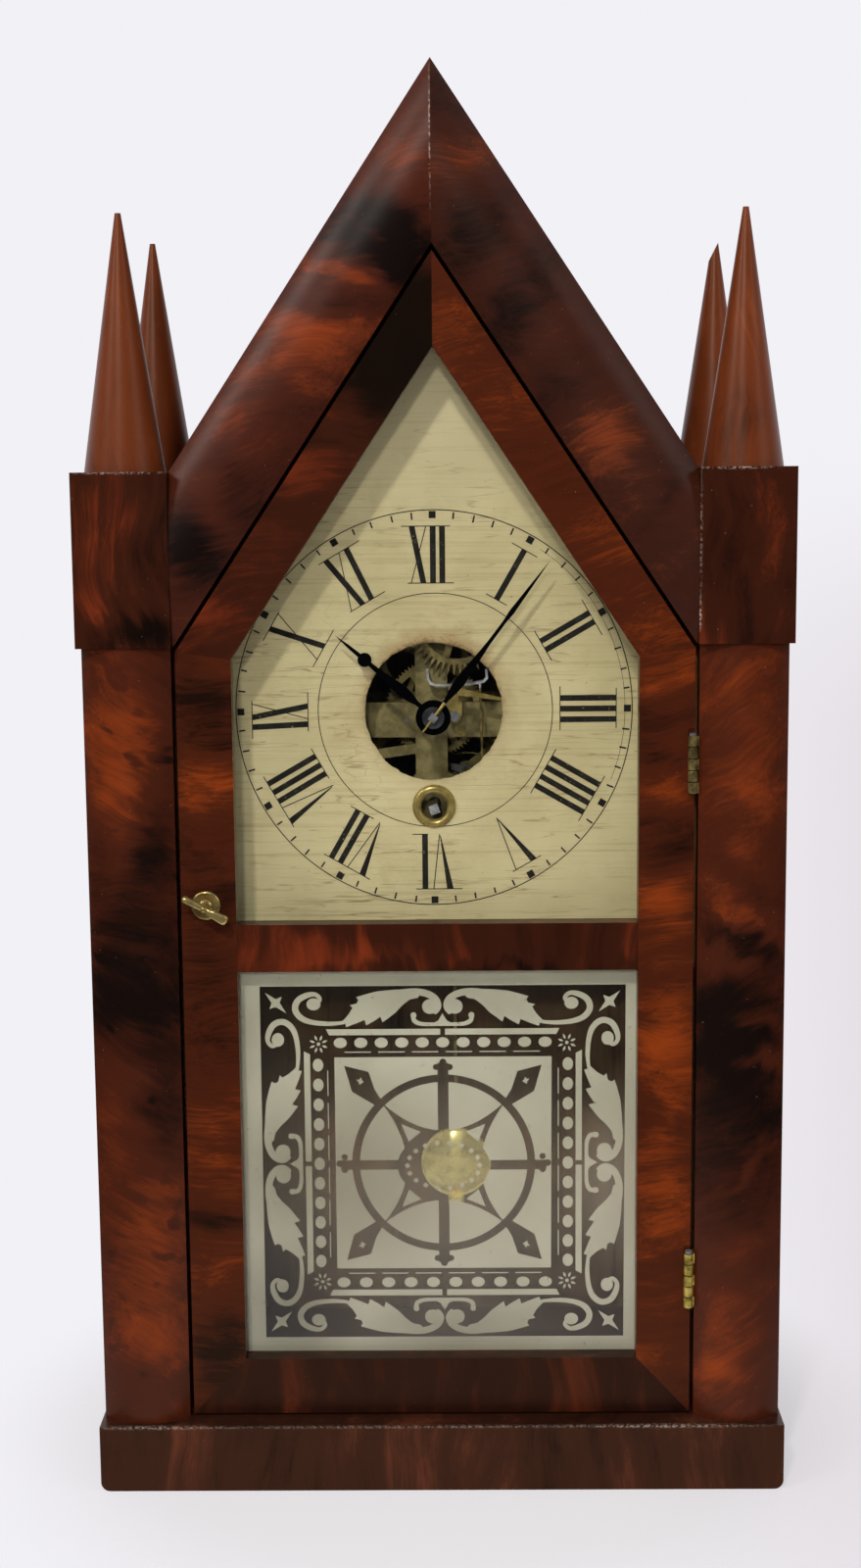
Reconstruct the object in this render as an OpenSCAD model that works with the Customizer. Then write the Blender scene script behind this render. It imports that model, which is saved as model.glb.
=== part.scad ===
// Steeple clock: a pointed mantel clock with four steeples, a time-only
// movement on strap plates, a hinged glazed door and a short pendulum.
// X runs to the right, Y to the back, Z up. The origin is the middle of the
// underside, so the front faces -Y. All sizes are in millimetres.

/* [Case] */
// Height of the gable's apex above the floor
overall_h = 515; // [480:1:560]
// Width of the case over the cap blocks and the plinth
case_w = 254; // [230:1:290]
// Depth of the plinth from front to back
case_d = 120; // [105:1:140]
// Height of the plinth
plinth_h = 25; // [18:0.5:35]
// Height of the columns' upper ends above the floor
cap_bottom_z = 314; // [290:1:330]
// Height of a cap block
cap_h = 61.6; // [50:0.2:75]
// Width and depth of a cap block
cap_w = 33.8; // [28:0.2:40]
// How far the half-round faces rise over their edges
round_rise = 5.8; // [3:0.1:9]
// Width of one column's front
column_w = 31.8; // [26:0.2:38]
// Thickness of the side boards
side_t = 9.5; // [7:0.5:14]
// Thickness of the roof boards
roof_t = 8; // [6:0.5:12]

/* [Steeples] */
// Height of a whole steeple
steeple_h = 90; // [60:1:120]
// Radius of a steeple's foot
steeple_foot_r = 14.5; // [10:0.1:16]
// Radius of a steeple's blunt tip
steeple_tip_r = 1.05; // [0.6:0.05:2]

/* [Door] */
// Thickness of the door frame
door_t = 12; // [9:0.5:16]
// Narrow gap round the door
door_gap = 1.4; // [0.8:0.1:2.5]
// Width of the door's stiles
stile_w = 19.9; // [15:0.1:28]
// Height of the door's bottom rail
bottom_rail_h = 21.3; // [15:0.1:32]
// Height of the middle rail's underside above the floor
mid_rail_z = 195.3; // [170:0.1:220]
// Height of the middle rail
mid_rail_h = 17.5; // [12:0.1:25]
// Width of the door's gable rails
gable_rail_w = 18.1; // [14:0.1:24]
// Thickness of the panes
glass_t = 2; // [1.5:0.1:3]
// Radius of a hinge's knuckles
knuckle_r = 1.73; // [1.4:0.01:2.2]
// Height of a hinge
hinge_h = 21; // [16:0.5:30]

/* [Dial and hands] */
// Place of the hands' centre above the floor
hub_z = 286.5; // [270:0.5:300]
// Sideways place of the hands' centre
hub_x = -0.9; // [-3:0.1:3]
// Radius of the open centre of the dial
dial_hole_r = 25.45; // [18:0.05:30]
// How far the dial's open centre sits above the hands' centre
dial_rise = 1.3; // [0:0.1:3]
// Length of the minute hand
minute_len = 71; // [60:0.5:75]
// Length of the hour hand
hour_len = 46.6; // [38:0.2:52]
// Clockwise angle of the minute hand from twelve
minute_at = 37; // [0:0.5:360]
// Clockwise angle of the hour hand from twelve
hour_at = 310.2; // [0:0.1:360]

/* [Movement] */
// Distance between the inner faces of the plates
plate_gap = 40; // [34:0.5:46]
// Thickness of each plate
plate_t = 1.5; // [1:0.1:2.5]
// Drop of the winding arbor below the hands' centre
great_drop = 35.1; // [30:0.1:40]
// Teeth of the great wheel
great_teeth = 90; // [60:1:96]
// Pins of the centre pinion
centre_pins = 10; // [8:1:12]
// Teeth of the centre wheel
centre_teeth = 72; // [48:1:84]
// Pins of the third pinion
third_pins = 8; // [6:1:10]
// Teeth of the third wheel
third_teeth = 75; // [48:1:84]
// Pins of the escape pinion
escape_pins = 7; // [6:1:10]
// Pointed teeth of the escape wheel
escape_teeth = 50; // [30:1:60]
// Radius over the escape wheel's points
escape_r = 19.3; // [15:0.1:22]
// Radius of the pendulum bob
bob_r = 13.4; // [10:0.1:18]
// Distance from the suspension pin to the middle of the bob
pendulum_len = 144.5; // [120:0.5:170]

/* [Hidden] */

// Fits: bearing play on a radius, plain clearance between moving pieces
bearing_play = 0.04;
free_gap = 0.3;
$fn = 96;
eps = 0.01;

// Places along the depth of the case
front_y = -case_d / 2;
plinth_t = 14;
cap_front_y = front_y + 2.3;
column_edge_y = front_y + 9;
column_back_y = front_y + 15;
door_front_y = front_y + 9.7;
door_back_y = door_front_y + door_t;
case_back_y = case_d / 2 - 1;
back_board_t = 7;
back_board_y = case_back_y - back_board_t;
rear_cap_y = case_d / 2 - 0.3 - cap_w;

// Places across the case
half_w = case_w / 2;
case_side_x = half_w - 1;
cap_inner_x = half_w - cap_w;
column_inner_x = case_side_x - column_w;
side_inner_x = case_side_x - side_t;
door_half_w = column_inner_x - door_gap;
glass_half_w = door_half_w - stile_w;
cap_top_z = cap_bottom_z + cap_h;

// The gable: its outer line runs from the apex to the caps' inner top edges
gable_m = (overall_h - cap_top_z) / cap_inner_x;
gable_deg = atan(gable_m);
gable_w = cap_h * cos(gable_deg);
door_apex_z = overall_h - cap_h - door_gap / cos(gable_deg);
door_shoulder_z = door_apex_z - gable_m * door_half_w;
glass_apex_z = door_apex_z - gable_rail_w / cos(gable_deg);
glass_shoulder_z = glass_apex_z - gable_m * glass_half_w;
door_bottom_z = plinth_h + 1;
sill_z = door_bottom_z + bottom_rail_h;
glass_rebate = 4;
glass_y = door_front_y + 6.3;
mid_top_z = mid_rail_z + mid_rail_h;

// The hinge: its pin stands just in front of the door's face
hinge_x = door_half_w - 0.8;
hinge_y = door_front_y - 1.3;
hinge_pin_r = 0.8;
hinge_tops_z = [281, 88.4];
knuckles = 5;
leaf_t = 0.9;
leaf_d = column_back_y - hinge_y;
case_leaf_x = column_inner_x - leaf_t;
door_leaf_x = case_leaf_x - free_gap - leaf_t;

// The latch on the left stile
latch_x = -(door_half_w + glass_half_w) / 2 - 1;
latch_z = 220.2;
latch_spindle_r = 2;
latch_at = -28.8;
tongue_len = 13.4;
tongue_y = door_back_y + 0.4;

// The movement, dial and hands keep their distance from the panes: their
// depths below are measured from movement_y
hands_room = 44;
movement_y = glass_y + hands_room;
dial_y = -26;
dial_t = 1;
batten_back_y = -15;
plate_y = -12;
plate_back_y = plate_y + plate_t + plate_gap;
hand_t = 0.8;
hour_hand_y = -33.4;
minute_hand_y = -36.8;
wheel_t = 1.2;
cannon_y = [-6.7, -5.1];
motion_pinion_y = [-9.9, -8.2];
hour_wheel_y = [-9.7, -8.5];
centre_wheel_y = -2.6;
centre_pinion_y = [11.3, 16.8];
third_wheel_y = 7.6;
third_pinion_y = [-4.6, 0.6];
escape_wheel_y = [-17.2, -16.2];
escape_pinion_y = [5.2, 11.2];
great_wheel_y = [13, 15];
ratchet_y = [10.4, 12.2];
coil_y = [17.5, 28.5];
shroud_t = 0.8;

// Centres in the movement, from the hands' centre: [right, up]
great_c = [0, -great_drop];
escape_c = [8.9, 33.4];
verge_c = [7.8, -1.2];
hang_c = [7.2, -29];
bob_c = [hang_c[0], hang_c[1] - pendulum_len];
rod_y = -18.5;
rod_r = 0.6;

// Modules from the centre distances
great_module = 2 * great_drop / (great_teeth + centre_pins);
centre_module = 0.5;
third_module = 0.46;
third_reach = centre_module * (centre_teeth + third_pins) / 2;
escape_reach = third_module * (third_teeth + escape_pins) / 2;
escape_dist = norm(escape_c);
third_along = (third_reach * third_reach - escape_reach * escape_reach
  + escape_dist * escape_dist) / (2 * escape_dist);
third_aside = sqrt(third_reach * third_reach - third_along * third_along);
third_c = [
  (escape_c[0] * third_along - escape_c[1] * third_aside) / escape_dist,
  (escape_c[1] * third_along + escape_c[0] * third_aside) / escape_dist
];
motion_reach = 10.5;
minute_c = [-sqrt(motion_reach * motion_reach - 3.3 * 3.3), -3.3];
cannon_teeth = 12;
minute_teeth = 36;
minute_leaves = 10;
hour_teeth = 40;
cannon_module = 2 * motion_reach / (cannon_teeth + minute_teeth);
hour_module = 2 * motion_reach / (minute_leaves + hour_teeth);

// Radii of arbors and pipes
centre_arbor_r = 1;
hand_arbor_r = 2;
sleeve_r = 1.75;
hour_pipe_r = 2.9;
third_arbor_r = 0.9;
escape_arbor_r = 0.8;
wind_arbor_r = 3.5;
wind_pivot_r = 2.5;

// Helpers

// Angle of the line from a to b, counter-clockwise from the right
function toward(a, b) = atan2(b[1] - a[1], b[0] - a[0]);

// Point at radius r and angle a
function polar(r, a) = [r * cos(a), r * sin(a)];

// A flat ring of wheel teeth: root, flank and crest points for each tooth
function tooth_points(n, root_r, pitch_r, tip_r, half_root, half_pitch, half_tip) = [
  for (i = [0 : n - 1])
    for (p = [
      [root_r, -half_root], [pitch_r, -half_pitch], [tip_r, -half_tip],
      [tip_r, half_tip], [pitch_r, half_pitch], [root_r, half_root]
    ])
      polar(p[0], i * 360 / n + p[1] / p[0] * 180 / PI)
];

// Outline of a bent strip of width w along the points p
function unit(v) = v / norm(v);
function bend_normal(p, i) =
  let (
    a = unit(p[i] - p[max(i - 1, 0)] + (i == 0 ? p[1] - p[0] : [0, 0])),
    b = unit(p[min(i + 1, len(p) - 1)] - p[i]
      + (i == len(p) - 1 ? p[i] - p[i - 1] : [0, 0])),
    m = unit(a + b)
  )
  [-m[1], m[0]] / (m * a);
function strip_outline(p, w) = concat(
  [for (i = [0 : len(p) - 1]) p[i] + bend_normal(p, i) * w / 2],
  [for (i = [len(p) - 1 : -1 : 0]) p[i] - bend_normal(p, i) * w / 2]
);

// Stands a flat drawing up in the case: its x stays, its y becomes height,
// and its thickness runs from y0 back to y1
module upright(y0, y1) {
  translate([0, y1, 0])
    rotate([90, 0, 0])
      linear_extrude(y1 - y0)
        children();
}

// The same for a drawing made round a centre of the movement
module at_centre(c, y0, y1) {
  translate([hub_x + c[0], 0, hub_z + c[1]])
    upright(y0, y1)
      children();
}

// A round bar along the depth, at a centre of the movement
module depth_rod(c, r, y0, y1) {
  translate([hub_x + c[0], y1, hub_z + c[1]])
    rotate([90, 0, 0])
      cylinder(h = y1 - y0, r = r);
}

// Sets the dial, the hands and the movement in the depth of the case
module movement_frame() {
  translate([0, movement_y, 0])
    children();
}

// A spoked flat wheel with teeth, drawn flat
module toothed_2d(n, module_size, pin_r, rim, spokes, hub_r, bore_r, at) {
  pitch_r = n * module_size / 2;
  pitch = PI * module_size;
  root_r = pitch_r - pin_r - 0.25 * module_size - 0.08;
  tip_r = pitch_r + 0.85 * module_size;
  half = (pitch - 2 * pin_r) / 2 - 0.08 * pitch;
  rotate(at)
    difference() {
      polygon(tooth_points(n, root_r, pitch_r, tip_r, half * 1.15, half, half * 0.3));
      if (spokes > 0)
        difference() {
          circle(r = root_r - rim);
          circle(r = hub_r);
          for (i = [0 : spokes - 1])
            rotate(i * 360 / spokes + 20)
              translate([0, -rim * 0.6])
                square([pitch_r, rim * 1.2]);
        }
      circle(r = bore_r);
    }
}

// A lantern pinion: two shrouds joined by round pins
module lantern(c, n, module_size, pin_r, shroud_r, bore_r, y0, y1, at) {
  for (y = [y0, y1 - shroud_t])
    difference() {
      depth_rod(c, shroud_r, y, y + shroud_t);
      depth_rod(c, bore_r, y - eps, y + shroud_t + eps);
    }
  for (i = [0 : n - 1])
    depth_rod(c + polar(n * module_size / 2, at + (i + 0.5) * 360 / n), pin_r,
      y0 + shroud_t / 2, y1 - shroud_t / 2);
}

// Wood: plinth

plinth_round_r = 3.5;
plinth_round_steps = 8;

// Rounded lower corner of the plinth on the side s, as a list of points
function plinth_corner(s) = [
  for (i = [0 : plinth_round_steps])
    [s * (half_w - plinth_round_r), plinth_round_r]
      + plinth_round_r * [
        s * sin(i * 90 / plinth_round_steps), -cos(i * 90 / plinth_round_steps)
      ]
];

module plinth_front() {
  left = plinth_corner(-1);
  color("#5a2413")
    upright(front_y, front_y + plinth_t)
      polygon(concat(
        plinth_corner(1),
        [[half_w, plinth_h], [-half_w, plinth_h]],
        [for (i = [plinth_round_steps : -1 : 0]) left[i]]
      ));
}

module plinth_sides() {
  color("#5a2413")
    for (s = [-1, 1])
      upright(front_y + plinth_t, case_d / 2)
        polygon(concat(
          [[s * (half_w - plinth_t), 0]],
          plinth_corner(s),
          [[s * half_w, plinth_h], [s * (half_w - plinth_t), plinth_h]]
        ));
}

floor_t = 10;

module floor_board() {
  color("#4a2012")
    translate([-(half_w - plinth_t), front_y + plinth_t, plinth_h - floor_t])
      cube([2 * (half_w - plinth_t), case_d - plinth_t, floor_t]);
}

// Wood: carcase

module side_boards() {
  color("#4d1f11")
    for (s = [-1, 1])
      translate([s * (case_side_x - side_t / 2), (column_back_y + case_back_y) / 2,
        (plinth_h + cap_bottom_z) / 2])
        cube([side_t, case_back_y - column_back_y, cap_bottom_z - plinth_h], center = true);
}

roof_inset = 2.5;
roof_top_z = overall_h - roof_inset / cos(gable_deg);
roof_under_z = roof_top_z - roof_t / cos(gable_deg);

module roof_boards() {
  color("#4d1f11")
    for (s = [-1, 1])
      difference() {
        upright(column_back_y, case_back_y)
          intersection() {
            polygon([
              [0, roof_top_z], [s * case_w, roof_top_z - gable_m * case_w],
              [s * case_w, roof_under_z - gable_m * case_w], [0, roof_under_z]
            ]);
            translate([s > 0 ? 0 : -case_side_x, cap_bottom_z])
              square([case_side_x, overall_h]);
          }
        for (y = [cap_front_y, rear_cap_y])
          translate([s * (cap_inner_x + cap_w / 2), y + cap_w / 2, cap_bottom_z + cap_h / 2])
            cube([cap_w, cap_w, cap_h + 2 * eps], center = true);
      }
}

module back_board() {
  roof_at_cap_z = roof_under_z - gable_m * cap_inner_x;
  color("#6b4527")
    upright(back_board_y, case_back_y)
      polygon([
        [-side_inner_x, plinth_h], [side_inner_x, plinth_h],
        [side_inner_x, cap_bottom_z], [cap_inner_x, cap_bottom_z],
        [cap_inner_x, roof_at_cap_z], [0, roof_under_z],
        [-cap_inner_x, roof_at_cap_z], [-cap_inner_x, cap_bottom_z],
        [-side_inner_x, cap_bottom_z]
      ]);
}

// Half-round front over straight sides, drawn flat: x across, y to the back
module half_round_2d(w, rise) {
  big_r = (w * w / 4 + rise * rise) / (2 * rise);
  side_d = column_back_y - column_edge_y;
  intersection() {
    translate([-w / 2, -rise])
      square([w, rise + side_d]);
    translate([0, big_r - rise])
      circle(r = big_r, $fn = 192);
  }
}

// Cuts the pocket for the hinge knuckles, with free clearance all round
module knuckle_pockets() {
  for (z = hinge_tops_z)
    translate([hinge_x, hinge_y, z - hinge_h - free_gap])
      cylinder(h = hinge_h + 2 * free_gap + 2, r = knuckle_r + free_gap);
}

// Shallow recesses for the leaves in the door's edge
module leaf_recesses() {
  for (z = hinge_tops_z)
    translate([door_leaf_x, hinge_y, z - hinge_h])
      cube([leaf_t + 1, leaf_d, hinge_h]);
}

module column(s) {
  color("#6a2812")
    translate([s * (column_inner_x + column_w / 2), column_edge_y, plinth_h])
      linear_extrude(cap_bottom_z - plinth_h)
        half_round_2d(column_w, round_rise);
}

module column_left() {
  column(-1);
}

module column_right() {
  column(1);
}

module gable(s) {
  run = 2 * overall_h / 3;
  color("#5e2210")
    intersection() {
      mirror([s < 0 ? 1 : 0, 0, 0])
        translate([0, column_edge_y, overall_h])
          rotate([0, 90 + gable_deg, 0])
            translate([gable_w / 2, 0, -run / 3])
              linear_extrude(run)
                half_round_2d(gable_w, round_rise + 0.4);
      translate([s > 0 ? 0 : -cap_inner_x, front_y, cap_bottom_z])
        cube([cap_inner_x, case_d / 2, overall_h]);
    }
}

module gable_left() {
  gable(-1);
}

module gable_right() {
  gable(1);
}

module cap_blocks() {
  color("#5a2110")
    for (s = [-1, 1])
      for (y = [cap_front_y, rear_cap_y])
        translate([s * (cap_inner_x + cap_w / 2), y + cap_w / 2, cap_bottom_z + cap_h / 2])
          cube([cap_w, cap_w, cap_h], center = true);
}

// One turned steeple on the middle of its cap block
module steeple(s, y) {
  translate([s * (cap_inner_x + cap_w / 2), y + cap_w / 2, cap_top_z])
    cylinder(h = steeple_h, r1 = steeple_foot_r, r2 = steeple_tip_r);
}

module steeples() {
  color("#7d3f22") {
    steeple(-1, cap_front_y);
    steeple(1, cap_front_y);
    steeple(-1, rear_cap_y);
  }
}

break_drop = 17.5;
break_deg = 63;

module steeple_broken() {
  color("#7d3f22")
    difference() {
      steeple(1, rear_cap_y);
      translate([cap_inner_x + cap_w / 2 - 2.9, rear_cap_y + cap_w / 2,
        cap_top_z + steeple_h - break_drop + 7.6])
        rotate([0, -break_deg, 0])
          translate([-20, -20, 0])
            cube(40);
    }
}

// Dial

batten_w = 36.5;
dial_lap = 9.8;
dial_half_w = glass_half_w + 13.1;
dial_bottom_z = mid_rail_z + 4.7;
dial_apex_z = glass_apex_z + dial_lap / cos(gable_deg);
dial_shoulder_z = dial_apex_z - gable_m * dial_half_w;
batten_zs = [dial_bottom_z - 10, dial_shoulder_z + 4.6];

module dial_battens() {
  color("#6b4a2c")
    movement_frame()
      difference() {
        for (s = [-1, 1])
          translate([s * (side_inner_x - batten_w / 2), (dial_y + dial_t + batten_back_y) / 2,
            (batten_zs[0] + batten_zs[1]) / 2])
            cube([batten_w, batten_back_y - dial_y - dial_t, batten_zs[1] - batten_zs[0]],
              center = true);
        nail_shanks();
      }
}

// The nails' round shanks, also used to bore their holes
module nail_shanks() {
  for (x = [-1, 1])
    for (z = nail_zs)
      translate([x * nail_x, dial_y + dial_t + 6, z])
        rotate([90, 0, 0])
          cylinder(h = dial_t + 6, r = nail_r);
}

module dial_plate() {
  color("#c8c094")
    movement_frame()
      difference() {
        upright(dial_y, dial_y + dial_t)
          polygon([
            [-dial_half_w, dial_bottom_z], [dial_half_w, dial_bottom_z],
            [dial_half_w, dial_shoulder_z], [0, dial_apex_z],
            [-dial_half_w, dial_shoulder_z]
          ]);
        depth_rod([0, dial_rise], dial_hole_r, dial_y - 1, dial_y + dial_t + 1);
        depth_rod(eyelet_c, eyelet_tube_r, dial_y - 1, dial_y + dial_t + 1);
        nail_shanks();
      }
}

nail_x = dial_half_w - 3;
nail_low_z = dial_bottom_z + 8;
nail_high_z = dial_shoulder_z - 7.4;
nail_zs = [nail_low_z, (nail_low_z + nail_high_z) / 2, nail_high_z];
nail_r = 0.6;

module dial_nails() {
  color("#b08d4a")
    movement_frame() {
      nail_shanks();
      for (x = [-1, 1])
        for (z = nail_zs)
          translate([x * nail_x, dial_y, z])
            rotate([90, 0, 0])
              cylinder(h = 0.6, r = 1.4);
    }
}

eyelet_c = [0, -great_drop + 0.95];
eyelet_tube_r = 6.2;
eyelet_hole_r = 4.9;
eyelet_rim_r = 8.15;

module grommet() {
  color("#b58f3c")
    movement_frame()
      translate([hub_x + eyelet_c[0], dial_y, hub_z + eyelet_c[1]])
        rotate([90, 0, 0])
          rotate_extrude()
            union() {
              translate([eyelet_hole_r, -dial_t - 0.6])
                square([eyelet_tube_r - eyelet_hole_r, dial_t + 1.1]);
              intersection() {
                translate([eyelet_hole_r, 0])
                  square([eyelet_rim_r - eyelet_hole_r, 3]);
                translate([(eyelet_rim_r + eyelet_hole_r) / 2, 0])
                  circle(r = (eyelet_rim_r - eyelet_hole_r) / 2, $fn = 48);
              }
            }
}

// Movement frame

frame_half_w = 37;
frame_bottom = -66;
frame_top = 47;
frame_bar = 10;
pillar_r = 3;
pillar_rivet_r = 1.8;
pillar_at = [[-31.5, 41], [31.5, 41], [-31.5, -60.5], [31.5, -60.5]];
screw_at = [[-32, 18], [32, 18], [-32, -38], [32, -38]];
upright_bar = [-6.9, 5.1];
cross_bar = [-9.9, 3.3];

// Strap plate, drawn flat round the hands' centre
module strap_plate_2d() {
  difference() {
    translate([-frame_half_w, frame_bottom])
      square([2 * frame_half_w, frame_top - frame_bottom]);
    difference() {
      translate([-frame_half_w + frame_bar, frame_bottom + frame_bar])
        square([2 * (frame_half_w - frame_bar), 28.5 - frame_bottom - frame_bar]);
      translate([upright_bar[0], frame_bottom])
        square([upright_bar[1] - upright_bar[0], frame_top - frame_bottom]);
      translate([-frame_half_w, cross_bar[0]])
        square([2 * frame_half_w, cross_bar[1] - cross_bar[0]]);
      translate(great_c)
        circle(r = 13);
      polygon([[-6, -12.2], [-30, -15.6], [-30, -19.4], [-6, -16]]);
      polygon([[4, -27], [30, -19], [30, -23], [4, -31]]);
    }
    for (p = pillar_at)
      translate(p)
        circle(r = pillar_rivet_r);
  }
}

module front_plate() {
  color("#a88d4e")
    movement_frame()
      at_centre([0, 0], plate_y, plate_y + plate_t)
        difference() {
          strap_plate_2d();
          circle(r = hour_pipe_r + bearing_play);
          translate(great_c)
            circle(r = wind_pivot_r + bearing_play);
          translate(third_c)
            circle(r = third_arbor_r + bearing_play);
          translate(escape_c)
            circle(r = escape_arbor_r + bearing_play);
          translate(verge_c)
            circle(r = stud_r);
          translate(minute_c)
            circle(r = stud_r);
          translate(hang_c)
            circle(r = hang_pin_r);
          translate(keeper_c)
            circle(r = keeper_post_r);
        }
}

module back_plate() {
  color("#a88d4e")
    movement_frame()
      at_centre([0, 0], plate_back_y, plate_back_y + plate_t)
        difference() {
          strap_plate_2d();
          circle(r = centre_arbor_r + bearing_play);
          translate(great_c)
            circle(r = wind_pivot_r + bearing_play);
          translate(third_c)
            circle(r = third_arbor_r + bearing_play);
          translate(escape_c)
            circle(r = escape_arbor_r + bearing_play);
          translate(spring_post_c)
            circle(r = spring_post_r);
          for (p = screw_at)
            translate(p)
              circle(r = screw_r);
        }
}

spring_post_c = great_c + polar(29, 236);
spring_post_r = 1.8;

module pillars() {
  color("#b3924a")
    movement_frame() {
      for (p = pillar_at) {
        depth_rod(p, pillar_r, plate_y + plate_t, plate_back_y);
        depth_rod(p, pillar_rivet_r, plate_y - 0.6, plate_back_y + plate_t);
      }
      depth_rod(spring_post_c, spring_post_r, 17, plate_back_y + plate_t);
    }
}

block_w = 18;
block_h = 124;
block_x = 31;
block_y0 = plate_back_y + plate_t;
block_y1 = back_board_y - movement_y;
screw_r = 1.4;
screw_share = 10 / 21;
screw_reach = screw_share * (block_y1 - block_y0);

module movement_blocks() {
  color("#8a6238")
    movement_frame()
      difference() {
        for (s = [-1, 1])
          translate([hub_x + s * block_x, (block_y0 + block_y1) / 2, hub_z - 10])
            cube([block_w, block_y1 - block_y0, block_h], center = true);
        screw_shanks();
      }
}

// The screws' round shanks, also used to bore their holes
module screw_shanks() {
  for (p = screw_at)
    depth_rod(p, screw_r, plate_back_y - 0.5, block_y0 + screw_reach);
}

module movement_screws() {
  color("#8c8a86")
    movement_frame() {
      screw_shanks();
      for (p = screw_at)
        depth_rod(p, 2.6, plate_back_y - 1.4, plate_back_y);
    }
}

coil_t = 0.5;
coil_start_r = wind_arbor_r + 0.6;
coil_end_r = 29 - spring_post_r - coil_t / 2;
coil_turns = 9;
coil_steps = 24;

// Wound mainspring: its outer end rests on the spring post
module mainspring() {
  steps = coil_turns * coil_steps;
  path = [
    for (i = [0 : steps])
      polar(coil_start_r + (coil_end_r - coil_start_r) * i / steps,
        236 + (i - steps) * 360 / coil_steps)
  ];
  color("#4c5056")
    movement_frame()
      at_centre(great_c, coil_y[0], coil_y[1])
        polygon(strip_outline(path, coil_t));
}

stud_r = 0.9;
stud_head_r = 1.9;

// Steel studs riveted in the front plate: one for the verge, in front, and
// one for the minute wheel, behind
module plate_studs() {
  color("#9a9a98")
    movement_frame() {
      depth_rod(verge_c, stud_r, -20.6, plate_y + plate_t);
      depth_rod(verge_c, stud_head_r, -21.6, -20.4);
      depth_rod(minute_c, stud_r, plate_y, -4.1);
      depth_rod(minute_c, 1.5, -4.8, -4);
    }
}

keeper_c = [32, 4.2];
keeper_post_r = 1.5;
keeper_y = -23.3;

// Tapered brass keeper that lies across the verge's saddle
module verge_keeper() {
  color("#c3a552")
    movement_frame() {
      at_centre([0, 0], keeper_y, keeper_y + 0.9)
        difference() {
          union() {
            polygon([
              [8.6, 9.8], [8.6, 6.9], [24.9, 4.9], [30.5, 2.8], [32, 2.2],
              [32, 6.2], [30.5, 5.8], [24.9, 6]
            ]);
            translate(keeper_c)
              circle(r = 2.6);
          }
          translate(keeper_c)
            circle(r = keeper_post_r);
        }
      depth_rod(keeper_c, keeper_post_r, keeper_y - 0.5, plate_y + plate_t);
      depth_rod(keeper_c, 2.6, keeper_y + 0.9, plate_y);
      depth_rod([10.6, -7.8], 1.7, plate_y - 0.9, plate_y);
    }
}

hang_pin_r = 0.9;

module suspension_post() {
  color("#b3924a")
    movement_frame() {
      depth_rod(hang_c, hang_pin_r, -20.4, plate_y + plate_t);
      depth_rod(hang_c, 2.2, -17, plate_y);
      depth_rod(hang_c, 1.7, -20.9, -19.9);
    }
}

// Hinges, latch and strike

// One knuckle of the hinge whose top is at z, counted from the top
module knuckle(z, i) {
  h = hinge_h / knuckles;
  translate([hinge_x, hinge_y, z - (i + 1) * h + 0.05])
    cylinder(h = h - 0.1, r = knuckle_r);
}

module hinge_bore(z) {
  translate([hinge_x, hinge_y, z - hinge_h - 1])
    cylinder(h = hinge_h + 2, r = hinge_pin_r + bearing_play);
}

// A leaf joins its own knuckles only; the notches leave room for the others
module hinge_leaf(z, x, first) {
  h = hinge_h / knuckles;
  difference() {
    union() {
      translate([x, hinge_y + knuckle_r + free_gap, z - hinge_h])
        cube([leaf_t, leaf_d - knuckle_r - free_gap, hinge_h]);
      for (i = [first : 2 : knuckles - 1]) {
        knuckle(z, i);
        translate([x, hinge_y, z - (i + 1) * h + 0.05])
          cube([leaf_t, leaf_d - 1, h - 0.1]);
      }
    }
    hinge_bore(z);
    for (i = [1 - first : 2 : knuckles - 1])
      translate([hinge_x, hinge_y, z - (i + 1) * h - 0.05])
        cylinder(h = h + 0.1, r = knuckle_r + free_gap);
  }
}

module case_hinges() {
  color("#9a7b3a")
    for (z = hinge_tops_z)
      hinge_leaf(z, case_leaf_x, 0);
}

module door_hinges() {
  color("#9a7b3a")
    for (z = hinge_tops_z)
      hinge_leaf(z, door_leaf_x, 1);
}

module hinge_pins() {
  color("#8f8d88")
    for (z = hinge_tops_z)
      translate([hinge_x, hinge_y, z - hinge_h]) {
        cylinder(h = hinge_h, r = hinge_pin_r);
        translate([0, 0, hinge_h - 0.05])
          cylinder(h = 0.9, r = 1.3);
      }
}

strike_d = door_back_y - 0.3 - column_back_y;

module strike() {
  color("#9a7b3a")
    translate([-column_inner_x - 9, column_back_y, latch_z - 7])
      cube([9, strike_d, 14]);
}

module escutcheon() {
  color("#a8873f")
    translate([latch_x, door_front_y, latch_z])
      rotate([90, 0, 0])
        difference() {
          cylinder(h = plate_rise, r1 = 5.4, r2 = 4.7);
          translate([0, 0, -1])
            cylinder(h = plate_rise + 2, r = latch_spindle_r + bearing_play);
        }
}

plate_rise = 0.9;
lobe_t = 3.2;
lobe_y = door_front_y - 9;
round_lobe = [8.9, 1.4];
flat_lobe = [9.6, 1.8];
neck = 1.1;
shoulder_r = 2.7;
shoulder_y = door_front_y - plate_rise - 0.3;

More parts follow.
